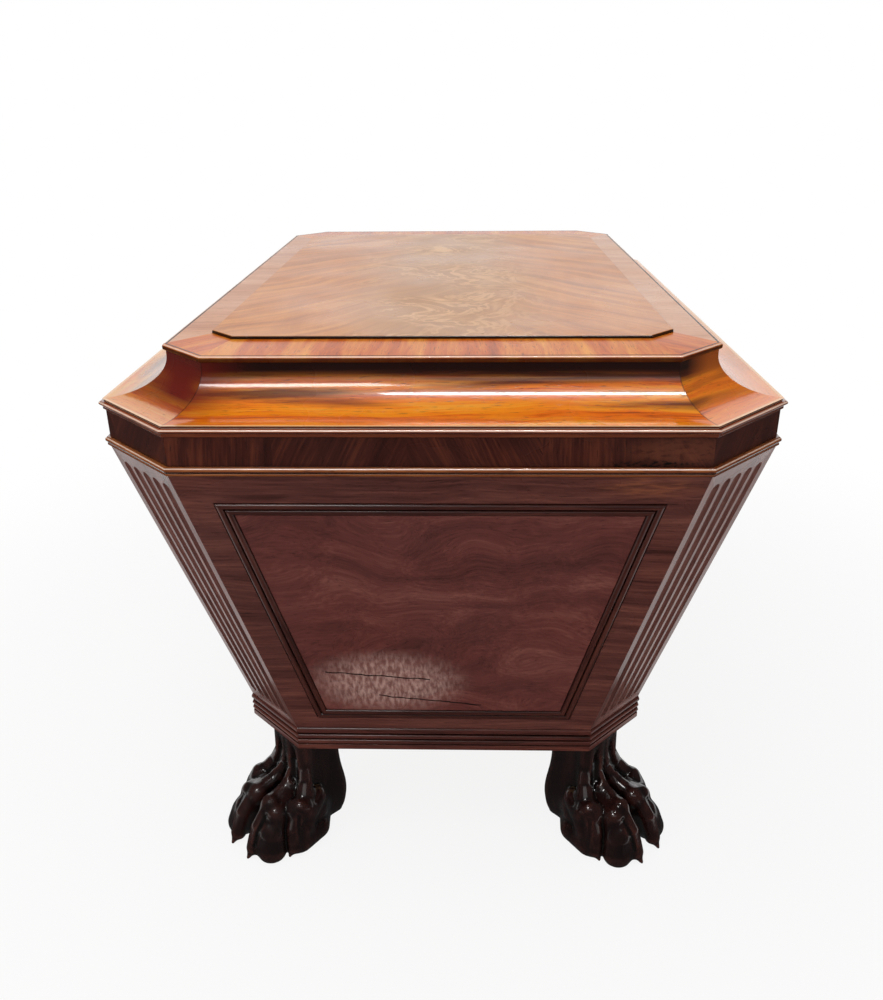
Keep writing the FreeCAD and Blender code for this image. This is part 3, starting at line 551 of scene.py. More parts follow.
run_ring("base_moulding", base_plan, base_bottom, base_depth, eased(base_profile, 0.4 * mm), base_mahogany,
         "carcase", "mahogany")

# ---- Feet --------------------------------------------------------------------------------------
# Four lion's paws, each carved with its leg from one block of mahogany and dowelled up into the
# base. Tendons run down the leg to four toes, and each toe has a claw ridge and a rounded pad.

carving_step = 1.25                      # millimetres between the points that shape the paw
foot_height = base_bottom / mm
reach_out, reach_back, reach_aside = 56, 66, 48
outs, asides, ups = np.meshgrid(np.arange(-reach_back, reach_out, carving_step),
                                np.arange(0, reach_aside, carving_step),
                                np.arange(-2 * carving_step, foot_height + 2 * carving_step, carving_step),
                                indexing="ij")
places = np.stack((outs, asides, ups), axis=-1)


def stroke(*joints):
    """Distance from a chain of tapering round joints. A joint is (out, aside, up, radius)."""
    nearest = np.full(outs.shape, 1e3)
    for first, last in zip(joints, joints[1:] or joints):
        start, run = np.array(first[:3]), np.array(last[:3]) - np.array(first[:3])
        share = np.clip((places - start) @ run / max(run @ run, 1e-9), 0, 1)
        away = np.linalg.norm(places - start - share[..., None] * run, axis=-1)
        nearest = np.minimum(nearest, away - first[3] - share * (last[3] - first[3]))
    return nearest


def blended(first, second, soft):
    """Both shapes, run together softly where they meet."""
    share = np.clip(0.5 + 0.5 * (second - first) / soft, 0, 1)
    return second * (1 - share) + first * share - soft * share * (1 - share)


def hollowed(body, hollow, soft):
    return -blended(-body, hollow, soft)


def carved_leg():
    """A square leg with rounded arrises, which swells into the heel and tucks in at the floor."""
    back, front, half, rounding = -57.5, -10.5, 23.5, 8.0
    swell = 4.6 * np.exp(-((ups - 28) / 26) ** 2) - 1.5 * np.exp(-(ups / 6) ** 2)
    middle, depth = (back - swell + front) / 2, (front - back + swell) / 2
    over_out = np.abs(outs - middle) - (depth - rounding)
    over_side = asides - (half + swell * 0.8 - rounding)
    corner = np.hypot(np.maximum(over_out, 0), np.maximum(over_side, 0))
    return corner + np.minimum(np.maximum(over_out, over_side), 0) - rounding


def carved_paw():
    body = blended(carved_leg(), stroke((-16, 16, 24, 22), (4, 13, 22, 20)), 6)
    for tendon in (((-15.5, 2.5, 116, 5.5), (-14.8, 3.5, 86, 5.2), (-12.5, 6.5, 68, 5.6), (-5, 9, 54, 8)),
                   ((-18, 18.5, 116, 5.5), (-16.8, 19, 76, 5.5), (-13, 24, 61, 6.6), (-8, 28, 51, 8.5))):
        body = blended(body, stroke(*tendon), 4)
    body = hollowed(body, stroke((-9.5, 10.5, 93, 2.4), (-9.2, 11.5, 80, 4.6), (-5.5, 15, 64, 4.8)), 2)
    body = hollowed(body, stroke((-12, 27, 88, 1.4), (-8, 33, 66, 2.6)), 2)
    for toe, ridge, knuckles, pad in (
            (((-6, 12, 45, 11.5), (14, 17, 39, 13.4), (26, 19.5, 27, 13.6), (31, 20.5, 14, 13.4)),
             ((-3, 9, 53, 7), (16, 11, 46.5, 8.2), (27, 12.6, 39, 7.2), (35.5, 13.4, 29, 7.8),
              (40, 13.8, 18, 7.8), (43, 13.6, 9.8, 7.4)),
             ((20, 10.8, 45.6, 8.8), (21, 21.5, 42.5, 8.8), (-4, 8.5, 55, 6)),
             ((31, 25.5, 8.5, 14.2), (28, 24, 20, 13))),
            (((-20, 25, 40, 12), (-5, 30, 34, 14), (2, 31.5, 22, 14)),
             ((-12, 27, 50, 7.5), (1, 33.5, 45, 9.2), (7, 35.4, 38, 8), (11.5, 36.6, 27, 8),
              (14.2, 37.8, 16, 7.6), (15.2, 38.4, 9, 7.0)),
             ((6, 28.8, 42, 9.2), (-3, 35, 40.5, 9), (-9, 27, 55, 6)),
             ((5, 32.5, 8, 14.2), (-17, 29.5, 8, 13.6), (-30, 17, 7, 12)))):
        whole = blended(stroke(*toe), stroke(*ridge), 3)
        for knuckle in knuckles:
            whole = blended(whole, stroke(knuckle), 4)
        body = blended(body, blended(whole, stroke(*pad), 4), 1.8)
    # A gouge line parts each claw's sheath from its toe.
    cuts = np.minimum(stroke((31, 19.5, 43.5, 1.2), (41, 19.5, 31, 1.6), (46, 19.5, 17, 1.5)),
                      stroke((9, 42.5, 43, 1.2), (12, 46, 29, 1.6), (10.5, 47.5, 15, 1.4)))
    body = hollowed(body, cuts, 2)
    claws = np.minimum(stroke((45, 13.5, 8.5, 5), (50.6, 13.5, 1.8, 1.6)),
                       stroke((16.5, 38.8, 8, 4.8), (21, 39.4, 1.8, 1.6)))
    body = blended(body, claws, 1.5)
    floor_gap, top_gap = 0.4, 0.1
    return np.maximum(body, np.maximum(floor_gap - ups, ups - foot_height + top_gap))


def skin_of(field, start, step):
    """A closed mesh over the points where the field is below zero, with one corner in each cell."""
    cells = tuple(n - 1 for n in field.shape)
    total, hits = np.zeros(cells + (3,)), np.zeros(cells)
    units = np.eye(3, dtype=int)
    for axis, unit in enumerate(units):
        one, two = np.delete(units, axis, 0)
        for near in (0 * one, two, one, one + two):
            a, b = (field[tuple(slice(o, o + n) for o, n in zip(at, cells))] for at in (near, near + unit))
            crossed = (a < 0) != (b < 0)
            share = np.where(crossed, a / np.where(crossed, a - b, 1), 0)
            total += np.where(crossed[..., None], near + share[..., None] * unit, 0)
            hits += crossed
    used = hits > 0
    index = np.full(cells, -1)
    index[used] = np.arange(used.sum())
    corners = (np.argwhere(used) + total[used] / hits[used][:, None]) * step + start
    faces = []
    for axis in range(3):
        edges = np.argwhere((np.delete(field, -1, axis) < 0) != (np.delete(field, 0, axis) < 0))
        one, two = np.delete(units, axis, 0)
        quad = [edges - one - two, edges - two, edges, edges - one]
        faces += np.stack([index[tuple(q.T)] for q in quad], axis=1).tolist()
    return corners, faces


def paw_blank():
    """The paw's mesh in millimetres, x outwards and z up."""
    half = carved_paw()
    whole = np.concatenate((half[:, :0:-1], half), axis=1)
    start = np.array((-reach_back, -(half.shape[1] - 1) * carving_step, ups[0, 0, 0]))
    corners, faces = skin_of(whole, start, carving_step)
    mesh = bpy.data.meshes.new("paw")
    mesh.from_pydata(corners.tolist(), [], faces)
    work = bmesh.new()
    work.from_mesh(mesh)
    bmesh.ops.recalc_face_normals(work, faces=work.faces)
    work.to_mesh(mesh)
    work.free()
    return mesh


def numbers(items, key, width, form=float):
    """A row of numbers for each item of a mesh."""
    row = np.empty(len(items) * width, dtype=form)
    items.foreach_get(key, row)
    return row.reshape(-1, width)


def bulges(mesh):
    """How far each corner stands over its neighbours, smoothed: above 0 on knuckles, below in creases."""
    count = len(mesh.vertices)
    place, normal = numbers(mesh.vertices, "co", 3), numbers(mesh.vertices, "normal", 3)
    pairs = numbers(mesh.edges, "vertices", 2, int)
    ends, others = np.concatenate((pairs, pairs[:, ::-1])).T
    valence = np.bincount(ends, minlength=count)

    def mean_of(values):
        return np.bincount(ends, weights=values[others], minlength=count) / valence

    around = np.stack([mean_of(place[:, a]) for a in range(3)], axis=1)
    height = ((place - around) * normal).sum(axis=1)
    smoothings = 3
    for _ in range(smoothings):
        height = (height + mean_of(height)) / 2
    return height


def rubbed_and_shaded(tree, plain):
    """Knuckles are rubbed paler, and creases get painted shade."""
    bulge = attribute(tree, "bulge")
    rubbed = tinted(tree, plain, mapped(tree, bulge, 0.02, 0.10), (104, 56, 46), 0.5)
    # Painted shade in the creases.
    return tinted(tree, rubbed, mapped(tree, bulge, -0.01, -0.08), (10, 5, 5), 0.85)


carved_mahogany = polished("carved_mahogany", [(18, 8, 8), (33, 16, 15), (56, 29, 25)],
                           figure=(0.12, 0.02), fibre=0.1, pores=0.0, gloss=0.24, body=1.45, coat=0.6,
                           wax_and_shade_share=0.95, reach=0.008, relief=0.05, change=rubbed_and_shaded)
blank = paw_blank()
heights = bulges(blank)
face_corners = base_plan(0, base_bottom)
corner_names = ("front_left", "front_right", "back_right", "back_left")
for name, i in zip(corner_names, CORNERS):
    foot = blank.copy()
    middle = (face_corners[i] + face_corners[i + 1]) / 2
    outward = Vector((math.copysign(1, middle.x), math.copysign(1, middle.y), 0)).normalized()
    turn = Matrix((outward, UPWARD.cross(outward), UPWARD)).transposed().to_4x4()
    drift = cabinetmaker.uniform(0, 2)
    grain = [(v.co.z * mm + drift, v.co.y * mm + drift, v.co.x * mm) for v in foot.vertices]
    mark(foot, grain=grain, tone=[0.5] * len(grain), bulge=heights)
    foot.transform(Matrix.Translation((middle.x, middle.y, 0)) @ turn @ Matrix.Scale(mm, 4))
    foot.materials.append(carved_mahogany)
    foot.shade_smooth()
    settle("carved_paw_" + name, foot, "carcase", "carved_mahogany", "paw_foot_" + name)

# ---- Walls -------------------------------------------------------------------------------------
# Each sloping side is a mahogany frame of stiles and rails round a flat panel, and a fluted post
# closes each cut corner. The panels' mouldings are planted in their rebates.

wall_thickness = 18 * mm
wall_level = wall_thickness / math.cos(body_lean)
body_cant = lip_cant - cant_shrink * body_inset
carcase_inner = body_inset + wall_level


def wall_plan(share, inset, z):
    run = body_inset + lean_run * share + inset
    return eight(length / 2 - run, width / 2 - run, body_cant + (body_bottom_cant - body_cant) * share, z)


def worked_copy(name, material, ease=0.3 * mm, across=False, smooth_below=None):
    """A node's solids with their triangles joined up, their arrises eased, and grain down each one."""
    same_point, flat_below, arris_above = 2e-6, 0.004, 0.35         # a length and two turns in radians
    work = bmesh.new()
    work.from_mesh(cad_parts[name].data)
    bmesh.ops.remove_doubles(work, verts=work.verts, dist=same_point)
    bmesh.ops.dissolve_limit(work, angle_limit=flat_below, verts=work.verts, edges=work.edges)
    grain = work.verts.layers.float_vector.new("grain")
    tone = work.verts.layers.float.new("tone")
    seen = set()
    for seed in work.verts:
        if seed in seen:
            continue
        island, front = [], [seed]
        seen.add(seed)
        while front:
            here = front.pop()
            island.append(here)
            for edge in here.link_edges:
                other = edge.other_vert(here)
                if other not in seen:
                    seen.add(other)
                    front.append(other)
        longest = max((edge for v in island for edge in v.link_edges), key=lambda e: e.calc_length())
        along = (longest.verts[1].co - longest.verts[0].co).normalized()
        helper = UPWARD if abs(along.z) < 0.9 else Vector((0, 1, 0))
        side = helper.cross(along).normalized()
        third = along.cross(side)
        drift = Vector(cabinetmaker.uniform(0, 2, 3))
        shade = cabinetmaker.uniform(0, 1)
        for v in island:
            local = Vector((v.co.dot(along), v.co.dot(side), v.co.dot(third)))
            v[grain] = (local.zxy if across else local) + drift
            v[tone] = shade
    if ease:
        sharp = [e for e in work.edges if len(e.link_faces) == 2 and e.calc_face_angle(0) > arris_above]
        bmesh.ops.bevel(work, geom=sharp, offset=ease, segments=2, profile=0.5, affect="EDGES",
                        clamp_overlap=True)
    mesh = bpy.data.meshes.new(name + "_worked")
    work.to_mesh(mesh)
    work.free()
    mesh.materials.append(material)
    if smooth_below:
        mesh.shade_smooth()
        mesh.set_sharp_from_angle(angle=smooth_below)
    return mesh


def dress(name, body, slot, material, **settings):
    settle(name + "_worked", worked_copy(name, material, **settings), body, slot, name)


frame_mahogany = polished("frame_mahogany", [(62, 28, 23), (104, 54, 46), (142, 84, 70)], body=1.42,
                          places=(0.0, 0.45, 1.0))
panel_mahogany = polished("panel_mahogany",
                          [(80, 37, 32), (116, 58, 52), (152, 90, 78)],
                          figure=(0.3, 0.03), warp=0.12, fibre=0.3, body=1.42)
# A wide reach paints shade deep into the flutes, besides their waxy dirt.
post_mahogany = polished("post_mahogany",
                         [(90, 52, 46), (128, 80, 71), (160, 112, 100)],
                         wax_and_shade_share=0.97, reach=0.011, body=1.3, coat=0.1)
moulding_mahogany = polished("moulding_mahogany", [(42, 17, 14), (72, 33, 27), (106, 55, 43)])


def recoloured(material, name, change):
    """A copy of a polish whose colour goes through a change of its own."""
    made = material.copy()
    made.name = name
    tree = made.node_tree
    plain = tree.nodes["Principled BSDF"].inputs["Base Color"].links[0].from_socket
    feed(tree, {"Base Color": change(tree, plain)})
    return made


def end_place(tree):
    """Where a point lies across and up the near end."""
    _, across, up = split(tree, coordinates(tree))
    return combined(tree, across, up)


def crack(tree, start, end):
    """1 along a wavering line between two points of the near end."""
    wander, half_width = 3 * mm, 0.45 * mm
    run = Vector(end) - Vector(start)
    ahead = run.normalized()
    here = swayed(tree, end_place(tree), 45.0, 4.0, wander * 2)
    away = vector_calc(tree, "SUBTRACT", here, (*start, 0))
    along = vector_calc(tree, "DOT_PRODUCT", away, (*ahead, 0))
    aside = vector_calc(tree, "DOT_PRODUCT", away, (-ahead.y, ahead.x, 0))
    inside = calc(tree, "COMPARE", calc(tree, "DIVIDE", along, run.length), 0.5, 0.5)
    near = mapped(tree, calc(tree, "ABSOLUTE", aside), half_width, half_width * 2, 1.0, 0.0)
    return times(tree, near, inside)


def patch(tree, centre, reach, grain, cut=(0.45, 0.6)):
    """1 inside a ragged oval of the near end. The grain is how finely it is broken across and up."""
    here = end_place(tree)
    away = vector_calc(tree, "SUBTRACT", here, (*centre, 0))
    away = vector_calc(tree, "LENGTH", vector_calc(tree, "MULTIPLY", away, (1 / reach[0], 1 / reach[1], 0)))
    oval = mapped(tree, away, 1.0, 0.35, smooth=True)
    fine = noise(tree, vector_calc(tree, "MULTIPLY", here, (*grain, 1)), 1.0, 4.0)
    return times(tree, oval, mapped(tree, fine, *cut, 0.25, 1.0))


def near_panel_marks(tree, plain):
    """A painted reflection lies as a rippled pale haze low on the left, and the veneer has two hair cracks.
    """
    # A painted reflection of the pale floor, as a haze.
    painted_haze = patch(tree, (0.048, 0.198), (0.08, 0.045), (330, 110), (0.4, 0.66))
    colour = tinted(tree, plain, painted_haze, (214, 172, 160), 0.75)
    for start, end in (((0.100, 0.211), (0.011, 0.202)), ((0.055, 0.182), (-0.033, 0.170))):
        colour = tinted(tree, colour, crack(tree, start, end), (20, 9, 8))
    return colour


def near_frame_marks(tree, plain):
    """A rubbed place lies at the right of the top rail."""
    rubbed = patch(tree, (-0.150, 0.404), (0.046, 0.013), (60, 420))
    return tinted(tree, plain, rubbed, (150, 84, 54), 0.7)


cracked_panel = recoloured(panel_mahogany, "cracked_panel", near_panel_marks)
patched_frame = recoloured(frame_mahogany, "patched_frame", near_frame_marks)

bead_rise, bead_sunk = 2.0 * mm, -0.7 * mm
planted_width, planted_depth, planted_quirk = 11.4 * mm, 8.0 * mm, 0.6 * mm
planted_bead = (planted_width - 3 * planted_quirk) / 4
bead_radius = (planted_bead ** 2 + (bead_rise - bead_sunk) ** 2) / (2 * (bead_rise - bead_sunk))
past_level = math.degrees(math.asin((bead_radius - (bead_rise - bead_sunk)) / bead_radius))
planted_profile = [(0, -planted_depth), (planted_width, -planted_depth), (planted_width, bead_sunk)]
for centre in (2 * planted_quirk + 3 * planted_bead, planted_quirk + planted_bead):
    planted_profile += arc((centre, bead_rise - bead_radius), bead_radius, past_level, 180 - past_level)
planted_profile += [(0, bead_sunk)]

stile_width, top_rail, bottom_rail = 23 * mm, 25 * mm, 14.6 * mm
for wall, i in (("front_wall", 1), ("back_wall", 5), ("right_end", 3), ("left_end", 7)):
    j = (i + 1) % 8
    top, low = wall_plan(0, 0, body_top), wall_plan(1, 0, base_top)
    origin, foot_middle = (top[i] + top[j]) / 2, (low[i] + low[j]) / 2
    along, slope = (top[j] - top[i]).normalized(), (origin - foot_middle).normalized()
    out = along.cross(slope)
    height = (origin - foot_middle).length
    half_top, half_low = (top[j] - top[i]).length / 2, (low[j] - low[i]).length / 2
    loop = []
    low_level = bottom_rail - height
    for level, side in ((low_level, -1), (low_level, 1), (-top_rail, 1), (-top_rail, -1)):
        half_here = half_top - (half_low - half_top) * level / height - stile_width
        loop.append(origin + along * (side * half_here) + slope * level)
    inward = [out.cross((loop[(k + 1) % 4] - loop[k]).normalized()) for k in range(4)]
    inner = [loop[k] + (inward[k - 1] + inward[k]) / (1 + inward[k - 1].dot(inward[k])) * planted_width
             for k in range(4)]
    parts = [run_length(loop, inner, k, planted_profile, moulding_mahogany, up=out) for k in range(4)]
    settle("planted_" + wall, joined("planted_" + wall, parts, moulding_mahogany), "carcase", "mahogany",
           wall + "_moulding")
    marked = wall == "left_end"
    dress(wall + "_frame", "carcase", "mahogany", patched_frame if marked else frame_mahogany)
    dress(wall + "_panel", "carcase", "wall_veneer", cracked_panel if marked else panel_mahogany)
for name in corner_names:
    dress("corner_post_" + name, "carcase", "mahogany", post_mahogany, ease=0, smooth_below=0.5)

# ---- Lower bead and frieze ---------------------------------------------------------------------
# A mahogany astragal caps the walls. Over it the upright frieze is veneered across the grain.

edge_blur = 0.06


def edge_highlight_and_shade(crown, below, dark):
    """A change of colour that paints a highlight along a rounded edge's crown and painted shade underneath
    it, by which way the surface faces.
    """
    def change(tree, plain):
        high = split(tree, coordinates(tree, "Normal"))["Z"]
        start = mapped(tree, high, crown[0] + edge_blur, crown[0])
        end = mapped(tree, high, crown[1] - edge_blur, crown[1])
        # A painted highlight along the crown, then painted shade below it.
        pale = tinted(tree, plain, times(tree, start, end), (250, 216, 194), 0.9)
        return tinted(tree, pale, mapped(tree, high, *below), dark, 0.9)
    return change


# The bead's crown gets a painted highlight and its underside painted shade.
bead_mahogany = polished("bead_with_painted_highlight", [(84, 36, 16), (148, 76, 36), (196, 118, 62)],
                         gloss=0.22, coat=0.8, body=1.45, wax_and_shade_share=0.97, reach=0.005,
                         change=edge_highlight_and_shade((0.8, 0.55), (0.1, -0.3), (60, 24, 14)))
leaf_width = 95 * mm


def veneer_leaves(tree):
    """Grain that leans its own way in each leaf of veneer along the frieze."""
    x, y, z = split(tree, attribute(tree, "grain", "Vector"))
    leaf = calc(tree, "FLOOR", calc(tree, "DIVIDE", y, leaf_width))
    chance = node(tree, "ShaderNodeTexWhiteNoise", {"W": leaf}, noise_dimensions="1D").outputs["Value"]
    lean = times(tree, x, calc(tree, "MULTIPLY_ADD", chance, 1.6, -0.7))
    return combined(tree, calc(tree, "MULTIPLY_ADD", leaf, 0.7, x), calc(tree, "ADD", y, lean), z)


frieze_mahogany = polished("frieze_mahogany",
                           [(46, 16, 12), (74, 30, 21), (112, 52, 32)],
                           vector=veneer_leaves, figure=(0.09, 0.016), body=1.4)


def near_frieze_marks(tree, plain):
    """A paler repair, with dark filler in the chips beside it."""
    repair = patch(tree, (-0.17, 0.432), (0.05, 0.014), (120, 300), (0.35, 0.5))
    colour = tinted(tree, plain, repair, (126, 66, 42), 0.5)
    chips = patch(tree, (-0.15, 0.4215), (0.045, 0.005), (260, 500), (0.5, 0.56))
    return tinted(tree, colour, chips, (12, 6, 5))


repaired_frieze = recoloured(frieze_mahogany, "repaired_frieze", near_frieze_marks)


def lip_plan(inset, z):
    return eight(length / 2 - inset, width / 2 - inset, lip_cant - cant_shrink * inset, z)


astragal, astragal_face, astragal_height = 2.1 * mm, 0.5 * mm, 6.5 * mm
fillet_face, fillet_height = 1.8 * mm, 1.9 * mm
below_bead = astragal_height - 2 * astragal
astragal_profile = ([(carcase_inner, 0), (carcase_inner, astragal_height)]
                    + bead(astragal_face, below_bead, astragal)
                    + [(fillet_face + quirk_depth, below_bead), (fillet_face + quirk_depth, fillet_height),
                       (fillet_face, fillet_height), (fillet_face, 0)])
run_ring("lower_bead", lip_plan, body_top, carcase_inner, eased(astragal_profile, 0.3 * mm), bead_mahogany,
         "carcase", "bead_mahogany")
dress("frieze_ends", "carcase", "frieze_veneer", repaired_frieze, across=True)
for name in ("front", "back", "corners"):
    dress("frieze_" + name, "carcase", "frieze_veneer", frieze_mahogany, across=True)

# ---- Bottom board, dowels, liner and bottle divider --------------------------------------------
# The board and the halved slats are pine. The liner is sheet zinc, folded to the tapered walls.

pine = polished("pine", [(186, 144, 98), (212, 174, 124), (230, 198, 152)], warp=0.01,
                pores=0.1, gloss=0.6, coat=0.0)
dress("bottom_board", "carcase", "secondary_wood", pine)
dress("foot_tenons", "carcase", "secondary_wood", pine, ease=0, smooth_below=0.6)
dress("divider_long_slats", "carcase", "secondary_wood", pine)
dress("divider_cross_slats", "carcase", "secondary_wood", pine)


def metal(name, bright, dull, rough=(0.3, 0.5), fineness=60.0):
    """A bare metal with dull patches."""
    material, tree = with_tree(bpy.data.materials.new(name))
    cloud = noise(tree, coordinates(tree), fineness, 4.0)
    colour = mixed(tree, mapped(tree, cloud, 0.35, 0.7), screen(*bright), screen(*dull))
    feed(tree, {"Base Color": colour, "Roughness": mapped(tree, cloud, 0.3, 0.7, *rough), "Metallic": 1.0})
    return material


zinc = metal("zinc_sheet", (168, 172, 174), (120, 124, 126), (0.45, 0.65), 14.0)
dress("liner", "carcase", "zinc", zinc, ease=0)

# ---- Lid ---------------------------------------------------------------------------------------
# A deep cavetto rises from the beaded lip to an overhanging plate. The plate is crossbanded round
# a raised panel of flame mahogany, and its pine ground board lies inside the mitred frame.

lid_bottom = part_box("lid_lip_ends")[0].z
lip_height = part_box("lid_lip_ends")[1].z - lid_bottom
lip_depth = 42 * mm
lip_bead, lip_fillet_height, lip_fillet_face = 1.5 * mm, 3.2 * mm, 2.5 * mm
lip_sunk = lip_fillet_face + quirk_depth
bead_top = lip_fillet_height + 2 * lip_bead
lip_profile = ([(lip_depth, 0), (lip_depth, lip_height), (lip_sunk, lip_height), (lip_sunk, bead_top)]
               + bead(0, lip_fillet_height, lip_bead)
               + [(lip_fillet_face, lip_fillet_height), (lip_fillet_face, 0)])
# The lip bead's crown gets a painted highlight and its underside painted shade.
lip_mahogany = polished("lip_with_painted_highlight", [(98, 38, 20), (166, 80, 44), (206, 118, 70)],
                        gloss=0.2, coat=0.9, body=1.45, wax_and_shade_share=0.97, reach=0.006,
                        change=edge_highlight_and_shade((0.85, 0.3), (0.1, -0.2), (60, 22, 14)))
hinge_long, leaf_thickness, barrel_inset, scoop_radius = 60 * mm, 1.8 * mm, 3 * mm, 3.6 * mm


def let_in(mesh):
    """The long lengths with beds for the hinge leaves and the link plate, and scoops for the barrels."""
    leaf_low, leaf_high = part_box("hinge_leaves_lid")
    link_low, link_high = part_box("lock_link_plate")
    pin_low, pin_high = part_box("hinge_pins")
    starts = (leaf_low.x, leaf_high.x - hinge_long)
    room = [((link_low.x, link_low.y), link_high)]
    room += [((x, leaf_low.y), Vector((x + hinge_long, width / 2 + mm, lid_bottom + leaf_thickness)))
             for x in starts]
    tools = bmesh.new()
    for (x, y), high in room:
        low = Vector((x, y, lid_bottom - mm))
        place = Matrix.Translation((high + low) / 2) @ Matrix.Diagonal((*(high - low), 1))
        bmesh.ops.create_cube(tools, size=1, matrix=place)
    along_x = Matrix.Rotation(math.pi / 2, 4, "Y")
    for x in starts:
        pin = Vector((x + hinge_long / 2, width / 2 - barrel_inset, (pin_low.z + pin_high.z) / 2))
        bmesh.ops.create_cone(tools, cap_ends=True, segments=48, radius1=scoop_radius, radius2=scoop_radius,
                              depth=hinge_long + mm / 2, matrix=Matrix.Translation(pin) @ along_x)
    cutter_mesh = bpy.data.meshes.new("cutter")
    tools.to_mesh(cutter_mesh)
    tools.free()
    cutter, holder = placed("cutter", cutter_mesh), placed("holder", mesh)
    modifier = holder.modifiers.new("let_in", "BOOLEAN")
    modifier.object, modifier.operation, modifier.solver = cutter, "DIFFERENCE", "EXACT"
    modifier.use_self = True
    done = evaluated(holder)
    for item in (cutter, holder):
        bpy.data.objects.remove(item)
    drift = Vector((3.1, 3.1, 0))
    mark(done, grain=[v.co + drift for v in done.vertices], tone=[0.5] * len(done.vertices))
    done.shade_smooth()
    done.set_sharp_from_angle(angle=SMOOTH_BELOW)
    return done


run_ring("lid_lip", lip_plan, lid_bottom, lip_depth, eased(lip_profile, 0.3 * mm), lip_mahogany, "lid",
         "bead_mahogany", cut_sides=let_in)

cavetto_bottom = lid_bottom + lip_height
cavetto_rise, cavetto_reach, cavetto_foot = 28.6 * mm, 47.2 * mm, 2.8 * mm
seam_half, seam_blur = 0.3 * mm, 0.7 * mm


def hollow_streaks_and_painted_light(tree, plain):
    """Old polish has darkened in long streaks, and painted shadow darkens the hollow under the plate. Across
    the near end it goes from burnt red at the left corner to orange at the right one, both mitres have
    opened, and a painted highlight runs along the foot."""
    along, across, up = split(tree, coordinates(tree))
    rise = mapped(tree, up, cavetto_bottom, cavetto_bottom + cavetto_rise)
    drawn = combined(tree, times(tree, along, 6.0), times(tree, across, 6.0), times(tree, up, 170.0))
    smear = mapped(tree, calc(tree, "MULTIPLY_ADD", rise, 0.2, noise(tree, drawn, 1.0, 4.0)), 0.56, 0.74)
    colour = tinted(tree, plain, smear, (84, 25, 13), 0.85)
    # Painted shadow: the hollow darkens towards the overhanging plate.
    colour = tinted(tree, colour, mapped(tree, rise, 0.5, 0.97, smooth=True), (40, 13, 8))
    at_left = mapped(tree, across, 0.13, 0.19, smooth=True)
    at_left = times(tree, at_left, mapped(tree, across, 0.26, 0.2, 0.6, 1.0))
    red = times(tree, at_left, calc(tree, "MULTIPLY_ADD", rise, 3.0, 0.2, clamp=True))
    colour = tinted(tree, colour, red, (112, 26, 12))
    colour = tinted(tree, colour, mapped(tree, across, -0.18, -0.2), (246, 128, 14), 0.5)
    # The seam's place follows from the depth of the quarter ellipse at this height.
    left_over = calc(tree, "SUBTRACT", 1.0, rise)
    depth = calc(tree, "SQRT", calc(tree, "SUBTRACT", 1.0, times(tree, left_over, left_over)))
    depth = calc(tree, "MULTIPLY_ADD", depth, cavetto_reach, cavetto_foot)
    seam = calc(tree, "MULTIPLY_ADD", depth, 1 - cant_shrink, calc(tree, "ABSOLUTE", across))
    seam = calc(tree, "ABSOLUTE", calc(tree, "SUBTRACT", seam, width / 2 - lip_cant))
    colour = tinted(tree, colour, mapped(tree, seam, seam_blur, seam_half), (40, 16, 10), 0.5)
    # A painted highlight runs along the foot of the hollow.
    return tinted(tree, colour, mapped(tree, rise, 0.002, 0.0006), (255, 214, 160), 0.7)


# The wide reach spreads painted shade far up under the plate.
cavetto_mahogany = polished("cavetto_mahogany",
                            [(150, 56, 14), (242, 112, 14), (255, 148, 16), (255, 192, 76)],
                            figure=(0.3, 0.014), fibre=0.3, pores=0.6, gloss=0.26, coat=0.7, wax_and_shade_share=0.97,
                            reach=0.022, body=1.38, change=hollow_streaks_and_painted_light, places=(0.0, 0.3, 0.55, 1.0))
neck_height, frame_shoulder, board_thickness, board_rebate = 3.8 * mm, 14 * mm, 12 * mm, 4 * mm
neck_depth = cavetto_foot + cavetto_reach
frame_top = cavetto_rise + neck_height
cavetto_profile = [(lip_depth, 0), (neck_depth + frame_shoulder, frame_top - board_thickness - board_rebate),
                   (neck_depth + frame_shoulder, frame_top), (neck_depth, frame_top)]
hollow_steps = 36
for k in range(hollow_steps + 1):
    turn = math.pi / 2 * (1 - k / hollow_steps)
    cavetto_profile.append((cavetto_foot + cavetto_reach * math.sin(turn),
                            cavetto_rise * (1 - math.cos(turn))))
run_ring("lid_cavetto", lip_plan, cavetto_bottom, neck_depth + frame_shoulder, cavetto_profile,
         cavetto_mahogany, "lid", "cavetto_mahogany")

# The plate's nose gets a painted highlight along its crown and painted shade under it.
nose_highlight_and_shade = edge_highlight_and_shade((0.9, 0.62), (0.66, 0.2), (44, 17, 11))
near_band = polished("near_crossband", [(160, 60, 2), (218, 104, 10), (252, 166, 56)],
                     figure=(0.2, 0.016), fibre=0.12, coat=0.2, body=1.3, tone=0.2, change=nose_highlight_and_shade)
